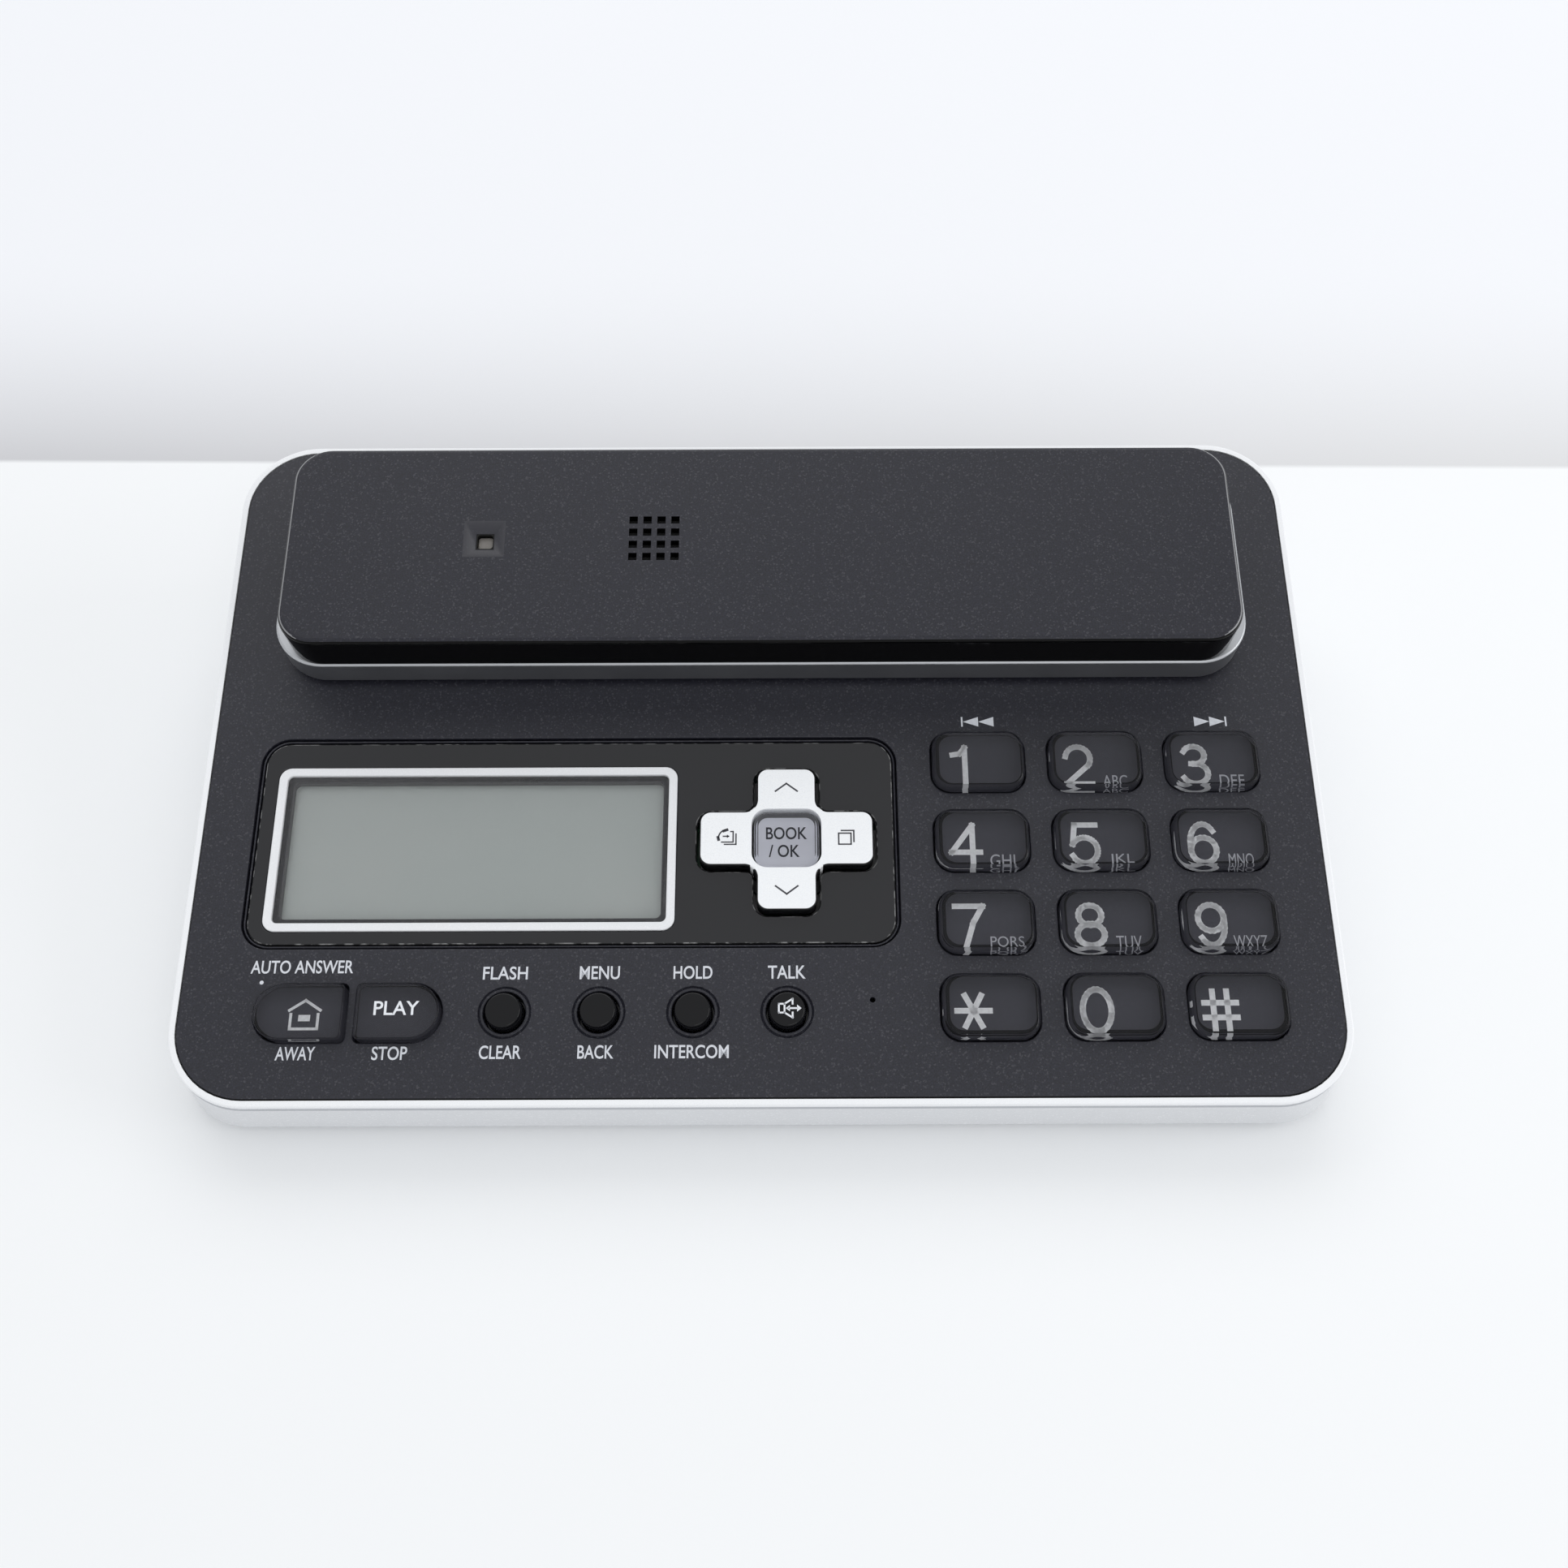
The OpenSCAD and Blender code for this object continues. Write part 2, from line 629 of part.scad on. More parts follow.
// Section of a rounded edge: a quarter disc
module quarter(edge) {
    intersection() {
        circle(edge);
        square(edge);
    }
}

// Rounded edge along a straight side of length l, which runs along X with its outer side at y = 0
module edge_bar(l, edge) {
    translate([-l / 2, -edge, 0]) rotate([90, 0, 90]) linear_extrude(l) quarter(edge);
}

// Rounded edge around a corner in the first quadrant, from radius r outwards
module edge_ring(r, edge) {
    rotate_extrude(angle = 90) translate([r, 0]) quarter(edge);
}

// Slab whose top edge is rounded off
module soft_slab(w, d, r, z0, z1, edge) {
    slab(w, d, r, z0, z1 - edge);
    slab(w - 2 * edge, d - 2 * edge, r - edge, z0, z1);
    translate([0, 0, z1 - edge]) {
        for (turn = [0, 180]) rotate(turn) {
            translate([0, d / 2, 0]) edge_bar(w - 2 * r, edge);
            rotate(-90) translate([0, w / 2, 0]) edge_bar(d - 2 * r, edge);
        }
        for (sx = [0, 1], sy = [0, 1]) mirror([sx, 0, 0]) mirror([0, sy, 0])
            translate([w / 2 - r, d / 2 - r, 0]) edge_ring(r - edge, edge);
    }
}

// Half of a pill: round at the left end, with small corners at the right, from x = 0 to w
module half_pill(w, d, r) {
    translate([d / 2, 0]) circle(d = d);
    translate([d / 2, -d / 2]) square([w - d / 2 - r, d]);
    translate([w - 2 * r, -d / 2 + r]) square([2 * r, d - 2 * r]);
    for (s = [-1, 1]) translate([w - r, s * (d / 2 - r)]) circle(r);
}

// Half of a pill whose top edge is rounded off
module soft_half_pill(w, d, r, z0, z1, edge) {
    side = w - d / 2 - r;
    translate([0, 0, z0]) linear_extrude(z1 - edge - z0) half_pill(w, d, r);
    translate([edge, 0, z0]) linear_extrude(z1 - z0) half_pill(w - 2 * edge, d - 2 * edge, r - edge);
    translate([0, 0, z1 - edge]) {
        for (s = [0, 1]) mirror([0, s, 0]) {
            translate([d / 2, 0, 0]) rotate(90) edge_ring(d / 2 - edge, edge);
            translate([d / 2 + side / 2, d / 2, 0]) edge_bar(side, edge);
            translate([w - r, d / 2 - r, 0]) edge_ring(r - edge, edge);
        }
        translate([w, 0, 0]) rotate(-90) edge_bar(d - 2 * r, edge);
    }
}

// Outline of the four-way cross, grown by g
module cross(g) {
    rounded(nav_w + 2 * g, nav_arm_y + 2 * g, nav_r + g);
    rounded(nav_arm_x + 2 * g, nav_d + 2 * g, nav_r + g);
    f = nav_fillet - g;
    for (sx = [0, 1], sy = [0, 1]) mirror([sx, 0]) mirror([0, sy])
        translate([nav_arm_x / 2 + g, nav_arm_y / 2 + g]) difference() {
            translate([-1, -1]) square(f + 1);
            translate([f, f]) circle(f);
        }
}

// Rounded edges of half an arm of the cross: its end at x = reach, its side at y = half, its root at x = root
module arm_edges(reach, half, root, edge) {
    side = reach - nav_r - root - nav_fillet;
    translate([reach, (half - nav_r) / 2, 0]) rotate(-90) edge_bar(half - nav_r, edge);
    translate([reach - nav_r, half - nav_r, 0]) edge_ring(nav_r - edge, edge);
    translate([root + nav_fillet + side / 2, half, 0]) edge_bar(side, edge);
}

// Cross whose top edge is rounded off
module soft_cross(z0, z1, edge) {
    translate([0, 0, z0]) linear_extrude(z1 - edge - z0) cross(0);
    translate([0, 0, z0]) linear_extrude(z1 - z0) cross(-edge);
    translate([0, 0, z1 - edge]) for (sx = [0, 1], sy = [0, 1]) mirror([sx, 0, 0]) mirror([0, sy, 0]) {
        arm_edges(nav_w / 2, nav_arm_y / 2, nav_arm_x / 2, edge);
        mirror([1, -1, 0]) arm_edges(nav_d / 2, nav_arm_x / 2, nav_arm_y / 2, edge);
        translate([nav_arm_x / 2 + nav_fillet, nav_arm_y / 2 + nav_fillet, 0]) rotate(180)
            rotate_extrude(angle = 90) translate([nav_fillet + edge, 0]) mirror([1, 0]) quarter(edge);
    }
}

// Case screw with a pan head below z = 0 and its shank above
module screw(r, head_r, length) {
    translate([0, 0, -screw_head_h]) cylinder(r = head_r, h = screw_head_h);
    translate([0, 0, -skin]) cylinder(r = r, h = length + skin);
}

// Body of the lower case, grown inwards by in, with its top at height top in the panel frame
module case_body(in, floor_z, top) {
    hull() {
        place() translate([0, panel_d / 2, 0])
            slab(case_top_w - 2 * in, case_top_d - 2 * in, case_top_r - in, top - skin, top, $fn = shell_fn);
        translate([0, floor_c, 0]) {
            slab(floor_w - 2 * in, floor_d - 2 * in, floor_r - in, floor_z + floor_edge,
                floor_z + floor_edge + skin, $fn = shell_fn);
            slab(floor_w - 2 * in - 2 * floor_edge, floor_d - 2 * in - 2 * floor_edge,
                floor_r - in - floor_edge, floor_z, floor_z + skin, $fn = shell_fn);
        }
    }
}

// Places the four feet on the floor
module at_feet() {
    for (sx = [-1, 1], y = [floor_y0 + foot_inset, floor_y1 - foot_inset])
        translate([sx * (floor_w / 2 - foot_inset), y, 0]) children();
}

// Rectangular slots under the loudspeaker, cut to a circle
module speaker_slots() {
    reach = speaker_r - 2.5;
    rows = floor(reach / slot_pitch);
    for (i = [-rows : rows]) {
        half = sqrt(reach * reach - pow(i * slot_pitch, 2));
        translate([-half, i * slot_pitch - slot_w / 2, foot_h - 1]) cube([2 * half, slot_w, case_floor + 2]);
    }
}

// Lower shell of the base: a hollow wedge with screw posts, jack cut-outs, a speaker grille and seats for the feet
module bottom_case() {
    color("gainsboro") difference() {
        union() {
            difference() {
                case_body(0, foot_h, -rim_t);
                case_body(case_wall, floor_in_z, -rim_h + 1);
                place() translate([0, panel_d / 2, 0])
                    slab(panel_w + 2 * lip_in, panel_d + 2 * lip_in, panel_r + lip_in, -rim_h, 1);
            }
            for (p = case_screw_places) place() {
                z0 = level_z(p[1], foot_h + case_floor / 2);
                translate([p[0], p[1], z0]) cylinder(r = post_r, h = boss_z - z0);
            }
            translate([speaker_x, speaker_y, floor_in_z - skin]) difference() {
                cylinder(r = speaker_r + 1.6, h = 2);
                translate([0, 0, -1]) cylinder(r = speaker_r + 0.2, h = 4);
            }
            for (s = [-1, 1]) translate([jack_board_c[0] + s * jack_peg_x, jack_board_c[1], 0]) {
                translate([0, 0, floor_in_z - skin]) cylinder(r = 2.6, h = jack_post + skin);
                translate([0, 0, jack_board_z - skin]) cylinder(r = 1.2, h = board_t + 0.8);
            }
        }
        for (p = case_screw_places) place() translate([p[0], p[1], 0]) {
            translate([0, 0, boss_z - far]) cylinder(r = screw_r + through_gap, h = far + 1);
            translate([0, 0, screw_seat_z - far]) cylinder(r = screw_head_r + 0.4, h = far);
        }
        at_feet() translate([0, 0, foot_h - 1]) cylinder(r = foot_r + seat_gap, h = 1 + foot_seat);
        translate([speaker_x, speaker_y, 0]) speaker_slots();
        translate([jack_x - jack_w / 2 - jack_gap, jack_face_y - 6, jack_z - jack_gap])
            cube([jack_w + 2 * jack_gap, 12, jack_h + 2 * jack_gap]);
        translate([jack_x + jack_pitch - power_w / 2 - jack_gap, jack_face_y - 6, jack_z - jack_gap])
            cube([power_w + 2 * jack_gap, 12, jack_h + 2 * jack_gap]);
    }
}

// Silver rim between the shells; its inner ledge carries the panel's edge
module trim_frame() {
    color("silver") place() translate([0, panel_d / 2, 0]) difference() {
        union() {
            soft_slab(panel_w + 2 * rim_w, panel_d + 2 * rim_w, panel_r + rim_w, -rim_t, 0, rim_round);
            slab(panel_w + 2 * web_out, panel_d + 2 * web_out, panel_r + web_out, -rim_h, -rim_t / 2);
        }
        slab(panel_w + 2 * rim_gap, panel_d + 2 * rim_gap, panel_r + rim_gap, -panel_t, 1);
        slab(panel_w - 2 * ledge_w, panel_d - 2 * ledge_w, panel_r - ledge_w, -rim_h - 1, 1);
    }
}

// Walls and floor of the cradle under the panel, with end ledges for the handset
module cradle_box() {
    slab(well_l + 2 * cradle_t, well_w + 2 * cradle_t, well_r + cradle_t, well_bottom, -panel_t / 2);
}

module cradle_well() {
    slab(well_l, well_w, well_r, rest_z, 1);
    slab(well_l - 2 * cradle_ledge, well_w, 2, well_z, 1);
}

// Slots for the charging leaves
module leaf_slots() {
    for (s = [-1, 1]) translate([hs_l / 2 - pad_x, s * pad_y, 0])
        slab(leaf_l + 0.6, leaf_w + 0.6, 0.5, well_bottom - 1, 1);
}

// Openings of all keys in the panel
module key_openings() {
    z0 = -panel_t - 1;
    for (i = [0 : len(dial_names) - 1]) translate(dial_place(i)) slab(key_w, key_d, key_r, z0, 1);
    translate([pill_x0, row_y, z0]) linear_extrude(panel_t + 2) half_pill(pill_left_w, pill_d, pill_r);
    translate([pill_x1, row_y, z0]) mirror([1, 0, 0])
        linear_extrude(panel_t + 2) half_pill(pill_right_w, pill_d, pill_r);
    for (i = [0 : round_count - 1]) translate([round_x0 + i * round_pitch, row_y, 0]) {
        translate([0, 0, z0]) cylinder(r = round_r, h = panel_t + 2);
        translate([0, 0, -groove_depth]) difference() {
            cylinder(r = groove_r + groove_w / 2, h = 1);
            translate([0, 0, -1]) cylinder(r = groove_r - groove_w / 2, h = 3);
        }
    }
    translate([mic_c[0], mic_c[1], z0]) cylinder(r = mic_hole_r, h = panel_t + 2);
}

// Two bars under the panel, across the side arms, with the bores for the pivot ring's trunnions
module pivot_bars() {
    ear_t = 1.5;
    ear_x0 = ring_ro + 0.3;
    half = nav_arm_y / 2 + nav_gap + 1.8;
    for (s = [-1, 1]) translate([nav_c[0] + s * (ear_x0 + ear_t / 2), nav_c[1], 0]) difference() {
        translate([-ear_t / 2, -half, pivot_z - 0.9]) cube([ear_t, 2 * half, pad_z - pivot_z + 0.9 + skin]);
        translate([-ear_t, 0, pivot_z]) rotate([0, 90, 0])
            cylinder(r = pivot_pin_r + pivot_clear, h = 2 * ear_t);
    }
}

// Rib around the window plate, in the middle of the groove
module plate_rib() {
    out = (plate_gap - plate_rib) / 2;
    in = out + plate_rib;
    translate(plate_c) difference() {
        slab(plate_w - 2 * out, plate_d - 2 * out, plate_r - out, bed_z - skin, plate_z);
        slab(plate_w - 2 * in, plate_d - 2 * in, plate_r - in, bed_z - 1, 1);
    }
}

// Upper shell of the base: key openings, the sunk bed of the window plate, and the cradle for the handset
module top_panel() {
    color("darkslategray") place() plate_rib();
    color("darkslategray") place() difference() {
        union() {
            translate([0, panel_d / 2, 0]) slab(panel_w, panel_d, panel_r, -panel_t, 0);
            translate(plate_c) slab(plate_w + 2.4, plate_d + 2.4, plate_r + 1.2, pad_z, -panel_t / 2);
            translate([0, hs_y, 0]) cradle_box();
            pivot_bars();
            for (p = case_screw_places)
                translate([p[0], p[1], boss_z]) cylinder(r = boss_r, h = -panel_t / 2 - boss_z);
            for (p = board_bosses)
                translate([p[0], p[1], board_z]) cylinder(r = board_boss_r, h = -panel_t / 2 - board_z);
        }
        key_openings();
        translate(plate_c) slab(plate_w, plate_d, plate_r, bed_z, 1);
        translate(bezel_c) slab(aperture_w, aperture_d, 1, pad_z - 1, 1);
        translate([nav_c[0], nav_c[1], pad_z - skin]) linear_extrude(plate_bed + 1) cross(nav_gap);
        translate([0, hs_y, 0]) {
            cradle_well();
            leaf_slots();
        }
        for (p = case_screw_places)
            translate([p[0], p[1], boss_z - 1]) cylinder(r = screw_r + screw_gap, h = 1 - panel_t / 2 - 0.6 - boss_z);
        for (p = board_bosses)
            translate([p[0], p[1], board_z - 1])
                cylinder(r = board_screw_r + screw_gap, h = 1 - panel_t / 2 - 0.6 - board_z);
    }
}

// Gloss plate in the panel's bed, open for the display's frame and the four-way key
module window_plate() {
    color("black") place() difference() {
        translate(plate_c)
            slab(plate_w - 2 * plate_gap, plate_d - 2 * plate_gap, plate_r - plate_gap, bed_z, plate_z);
        translate(bezel_c)
            slab(bezel_w + 2 * seat_gap, bezel_d + 2 * seat_gap, bezel_r + seat_gap, bed_z - 1, 1);
        translate([nav_c[0], nav_c[1], bed_z - 1]) linear_extrude(plate_t + 2) cross(nav_gap);
    }
}

// Frame of the display, standing a little above the plate
module display_bezel() {
    color("white") place() translate(bezel_c) difference() {
        slab(bezel_w, bezel_d, bezel_r, bed_z, plate_z + bezel_rise);
        slab(pane_w, pane_d, bezel_r - bezel_band + 0.3, bed_z - 1, 1);
    }
}

// Clear pane inside the frame, on the panel's ledge
module display_window() {
    color("lightgray", 0.4) place() translate(bezel_c)
        slab(pane_w - 2 * seat_gap, pane_d - 2 * seat_gap, 0.9, bed_z, bed_z + window_t);
}

// Liquid crystal cell on its carrier, on the main board under the panel
module display_module() {
    glass_t = 1.2;
    top = pad_z - seat_gap;
    color("darkseagreen") place() translate(bezel_c) {
        slab(aperture_w + 2.4, aperture_d + 2.4, 0.6, top - glass_t, top);
        slab(aperture_w + 5, aperture_d + 5, 1, board_z, top - glass_t);
    }
}

// Ring on which the four-way key rocks: trunnions to the panel at the sides, bores for the key front and rear
module nav_pivot_ring() {
    color("dimgray") place() translate([nav_c[0], nav_c[1], 0]) {
        difference() {
            translate([0, 0, ring_z - pivot_ring_t]) cylinder(r = ring_ro, h = pivot_ring_t);
            translate([0, 0, ring_z - pivot_ring_t - 1]) cylinder(r = ring_ri, h = pivot_ring_t + 2);
            translate([0, ring_ro + 1, pivot_z]) rotate([90, 0, 0])
                cylinder(r = pivot_pin_r + pivot_clear, h = 2 * ring_ro + 2);
        }
        for (s = [0, 1]) mirror([s, 0, 0]) translate([ring_ro - 0.4, 0, pivot_z]) rotate([0, 90, 0])
            cylinder(r = pivot_pin_r, h = 2);
    }
}

// White four-way rocker: a cross with rounded edges, hub, plungers and two pivot pins
module nav_key() {
    color("whitesmoke") place() translate([nav_c[0], nav_c[1], 0]) difference() {
        union() {
            soft_cross(nav_rise - arm_t, nav_rise, nav_edge);
            translate([0, 0, ring_z - skin]) linear_extrude(nav_rise - arm_t - ring_z + 2 * skin) intersection() {
                cross(0);
                circle(hub_r);
            }
            translate([0, 0, ring_z - pivot_ring_t]) cylinder(r = hub_r, h = pivot_ring_t);
            for (p = [[nav_w / 2 - 2, 0], [-nav_w / 2 + 2, 0], [0, nav_d / 2 - 1.4], [0, -nav_d / 2 + 1.4]])
                translate([p[0], p[1], plunger_z]) cylinder(r = plunger_r, h = -plunger_z);
            translate([0, ring_ri + 1.2, pivot_z]) rotate([90, 0, 0])
                cylinder(r = pivot_pin_r, h = 2 * (ring_ri + 1.2));
        }
        slab(select_w, select_d, select_r, ring_z - pivot_ring_t - 1, nav_rise + 1);
    }
}

// Grey lens key in the middle of the cross
module select_key() {
    color("slategray") place() translate([nav_c[0], nav_c[1], 0])
        soft_slab(select_w - 2 * select_gap, select_d - 2 * select_gap, select_r - select_gap,
            select_z, select_rise, select_edge);
}

// Plunger under a key, from the flange down
module stem() {
    translate([0, 0, stem_z]) cylinder(r = stem_r, h = flange_z - stem_z);
}

// Dial key: a thick cap with rounded edges on a flange that stays under the panel
module dial_key(i) {
    color("dimgray") place() translate(dial_place(i)) {
        soft_slab(key_w - 2 * key_gap, key_d - 2 * key_gap, key_r - key_gap, flange_z - skin, key_rise, key_edge);
        slab(key_w + 2 * flange_w, key_d + 2 * flange_w, key_r + flange_w, flange_z - flange_t, flange_z);
        stem();
    }
}

// One of the pill-shaped pair, from its round end at x = 0
module pill_key(w) {
    translate([key_gap, 0, 0])
        soft_half_pill(w - 2 * key_gap, pill_d - 2 * key_gap, pill_r, flange_z - skin, pill_rise, pill_edge);
    translate([-flange_w, 0, flange_z - flange_t]) linear_extrude(flange_t)
        half_pill(w + flange_w + pill_bridge / 2 - 0.2, pill_d + 2 * flange_w, pill_r);
    translate([w / 2, 0, 0]) stem();
}

module answer_key() {
    color("black") place() translate([pill_x0, row_y, 0]) pill_key(pill_left_w);
}

module play_key() {
    color("black") place() translate([pill_x1, row_y, 0]) mirror([1, 0, 0]) pill_key(pill_right_w);
}

// Round key: a turned cap with a rounded, slightly crowned top, on its flange
module round_key(i) {
    r = round_r - key_gap;
    edge = 0.6;
    crown = 0.2;
    color("black") place() translate([round_x0 + i * round_pitch, row_y, 0]) {
        rotate_extrude() difference() {
            union() {
                translate([0, flange_z - skin]) square([r, round_rise - crown - edge - flange_z + skin]);
                translate([0, round_rise - crown - edge - skin]) square([r - edge, edge + skin]);
                translate([r - edge, round_rise - crown - edge]) circle(edge);
                translate([0, round_rise - crown - skin]) square([r - edge, skin + crown / 2]);
            }
            translate([-far, -far]) square([far, 2 * far]);
        }
        translate([0, 0, flange_z - flange_t]) cylinder(r = round_r + flange_w, h = flange_t);
        stem();
    }
}

// Silicone mat on the board, with a dome under every key
module mat_outline() {
    x1 = panel_w / 2 - dial_margin_x + mat_border;
    x0 = dial_x0 - key_w / 2 - mat_border;
    y0 = row_y - pill_d / 2 - mat_border;
    translate([x0, dial_margin_y - mat_border]) square([x1 - x0, dial_d + 2 * mat_border]);
    translate([pill_x0 - mat_border, y0])
        square([nav_c[0] + 6 - pill_x0 + mat_border, pill_d + 2 * mat_border]);
    translate([nav_c[0], y0]) square([x0 - nav_c[0] + 1, 4]);
    translate([nav_c[0] - nav_w / 2, nav_c[1] - nav_d / 2]) square([nav_w, nav_d]);
    translate([nav_c[0], nav_c[1] - 4]) square([x0 - nav_c[0] + 1, 8]);
}

module key_mat() {
    color("lightgray") place() {
        translate([0, 0, board_z]) linear_extrude(mat_t) difference() {
            mat_outline();
            for (p = case_screw_places) translate(p) circle(boss_r + 0.6);
        }
        for (i = [0 : len(dial_names) - 1]) translate(dial_place(i)) mat_dome(dome_z);
        translate([pill_x0 + pill_left_w / 2, row_y]) mat_dome(dome_z);
        translate([pill_x1 - pill_right_w / 2, row_y]) mat_dome(dome_z);
        for (i = [0 : round_count - 1]) translate([round_x0 + i * round_pitch, row_y]) mat_dome(dome_z);
        translate(nav_c) mat_dome(select_dome_z);
    }
}

module mat_dome(top) {
    translate([0, 0, board_z + mat_t - skin]) cylinder(r = stem_r + 0.6, h = top - board_z - mat_t + skin);
}

// Main circuit board, screwed to bosses under the panel, cut back at the front posts, with large components below
module main_board() {
    w = panel_w - 2 * board_margin;
    cut = screw_inset + post_r + 0.6;
    color("seagreen") place() difference() {
        union() {
            translate([-w / 2, cut, board_z - board_t]) cube([w, board_rear_y - cut, board_t]);
            translate([cut - panel_w / 2, board_front_y, board_z - board_t])
                cube([panel_w - 2 * cut, cut - board_front_y + skin, board_t]);
            translate([0, 0, board_z - board_t]) {
                translate([bezel_c[0] - shield_w / 2, bezel_c[1] - shield_d / 2, -shield_h])
                    cube([shield_w, shield_d, shield_h + skin]);
                translate([nav_c[0] - chip_w / 2, nav_c[1] - chip_w / 2, -chip_h])
                    cube([chip_w, chip_w, chip_h + skin]);
                for (i = [-1 : 1]) translate([dial_x0 + (i + 1) * 3 * cap_r, plate_c[1], -cap_h])
                    cylinder(r = cap_r, h = cap_h + skin);
            }
        }
        for (p = board_bosses)
            translate([p[0], p[1], board_z - board_t - 1]) cylinder(r = board_screw_r + through_gap, h = board_t + 2);
    }
}

module board_screws() {
    color("lightslategray") place() for (p = board_bosses)
        translate([p[0], p[1], board_z - board_t]) screw(board_screw_r, board_head_r, board_screw_l);
}

// Small board in the rear, on two pegged posts, which carries the jacks
module jack_board() {
    color("seagreen") difference() {
        translate([jack_board_c[0] - jack_board_w / 2, jack_board_c[1] - jack_board_d / 2, jack_board_z])
            cube([jack_board_w, jack_board_d, board_t]);
        for (s = [-1, 1]) translate([jack_board_c[0] + s * jack_peg_x, jack_board_c[1], jack_board_z - 1])
            cylinder(r = 1.3, h = board_t + 2);
    }
}

// Hands-free loudspeaker, face down over the slots: flange, basket and magnet turned as one
module loudspeaker() {
    color("darkgray") translate([speaker_x, speaker_y, floor_in_z]) rotate_extrude() polygon([
        [0, 1.5], [speaker_r - 3, 0.6], [speaker_r - 2, 0], [speaker_r, 0], [speaker_r, 1.2],
        [speaker_r - 2, 1.6], [9, 4.2], [9, speaker_h], [0, speaker_h]
    ]);
}

// Microphone capsule in its boot, under the hole in the panel
module base_microphone() {
    color("black") place() translate([mic_c[0], mic_c[1], board_z])
        cylinder(r = mic_r, h = -panel_t - 0.2 - board_z);
}

// Modular line jack, open to the rear, with the latch notch over the socket
module line_jack() {
    socket_z = 1.6;
    color("black") translate([jack_x, jack_face_y, jack_z]) difference() {
        translate([-jack_w / 2, -jack_l, 0]) cube([jack_w, jack_l, jack_h]);
        translate([-socket_w / 2, -socket_l, socket_z]) cube([socket_w, socket_l + 1, socket_h]);
        translate([-3.1, -socket_l, socket_z]) cube([6.2, socket_l + 1, socket_h + 1.6]);
    }
}

// Power inlet: a round barrel with its centre pin
module power_jack() {
    color("black") translate([jack_x + jack_pitch, jack_face_y, jack_z]) {
        difference() {
            translate([-power_w / 2, -jack_l, 0]) cube([power_w, jack_l, jack_h]);
            translate([0, 1, jack_h / 2]) rotate([90, 0, 0]) cylinder(r = power_r, h = power_l + 1);
        }
        translate([0, -1, jack_h / 2]) rotate([90, 0, 0]) cylinder(r = power_pin_r, h = power_l);
    }
}

// Two arched charging leaves in the mouth end of the cradle
module charge_contacts() {
    rise = face_in_z - rest_gap - 0.1;
    color("gold") at_handset() for (s = [-1, 1])
        translate([hs_l / 2 - pad_x, s * pad_y + leaf_w / 2, 0]) rotate([90, 0, 0]) linear_extrude(leaf_w) {
            difference() {
                union() {
                    translate([0, rise - leaf_l / 2]) circle(leaf_l / 2);
                    translate([-leaf_l / 2, well_bottom - leaf_t]) square([leaf_l, rise - leaf_l / 2 - well_bottom + leaf_t]);
                }
                translate([0, rise - leaf_l / 2]) circle(leaf_l / 2 - leaf_t);
                translate([-leaf_l / 2 + leaf_t, well_bottom - leaf_t - 1])
                    square([leaf_l - 2 * leaf_t, rise - leaf_l / 2 - well_bottom + leaf_t + 1]);
            }
            for (side = [0, 1]) mirror([side, 0]) translate([leaf_l / 2 - leaf_t, well_bottom - leaf_t])
                square([leaf_t + 1.6, leaf_t]);
        }
}

module rubber_feet() {
    color("black") at_feet() cylinder(r = foot_r, h = foot_h + foot_seat);
}

module case_screws() {
    color("lightslategray") place() for (p = case_screw_places)
        translate([p[0], p[1], screw_seat_z]) screw(screw_r, screw_head_r, screw_l);
}

// Back shell of the handset: rounded edges, a lamp recess, a square sound grille and screw bosses
module handset_back() {
    l = hs_l - 2 * back_inset_x;
    w = hs_w - 2 * back_inset_y;
    r = back_r;
    color("darkslategray") at_handset() difference() {
        union() {
            difference() {
                soft_slab(l, w, r, band_z1, back_z1, back_edge);
                slab(l - 2 * back_wall, w - 2 * back_wall, r - back_wall, band_z1 - 1, back_in_z);
            }
            at_hs_screws(hs_post_z) cylinder(r = 2.6, h = back_in_z - hs_post_z + skin);
            translate([grille_c[0], grille_c[1], back_in_z - ringer_h]) difference() {
                cylinder(r = ringer_r + 1.4, h = ringer_h + skin);
                translate([0, 0, -1]) cylinder(r = ringer_r + seat_gap, h = ringer_h + 1);
            }
        }
        hull() {
            translate([lamp_c[0], lamp_c[1], back_z1]) linear_extrude(skin) square(lamp_w, center = true);
            translate([lamp_c[0], lamp_c[1], back_z1 - lamp_depth])
                linear_extrude(skin) square(lens_w + 0.4, center = true);
        }
        translate([lamp_c[0], lamp_c[1], back_in_z - 1]) linear_extrude(back_t + 2) square(lens_w + 0.2, center = true);
        for (i = [0 : grille_n - 1], j = [0 : grille_n - 1])
            translate([grille_c[0] + (i - (grille_n - 1) / 2) * grille_pitch,
                grille_c[1] + (j - (grille_n - 1) / 2) * grille_pitch, back_in_z - 1])
                linear_extrude(back_t + 2) square(grille_hole, center = true);
        at_hs_screws(hs_post_z - 1) cylinder(r = hs_screw_r + screw_gap, h = 7);
    }
}

// Places the handset's four screws at height z
module at_hs_screws(z) {
    for (sx = [-1, 1], sy = [-1, 1])
        translate([sx * (hs_l / 2 - hs_screw_inset), sy * hs_screw_y, z]) children();
}

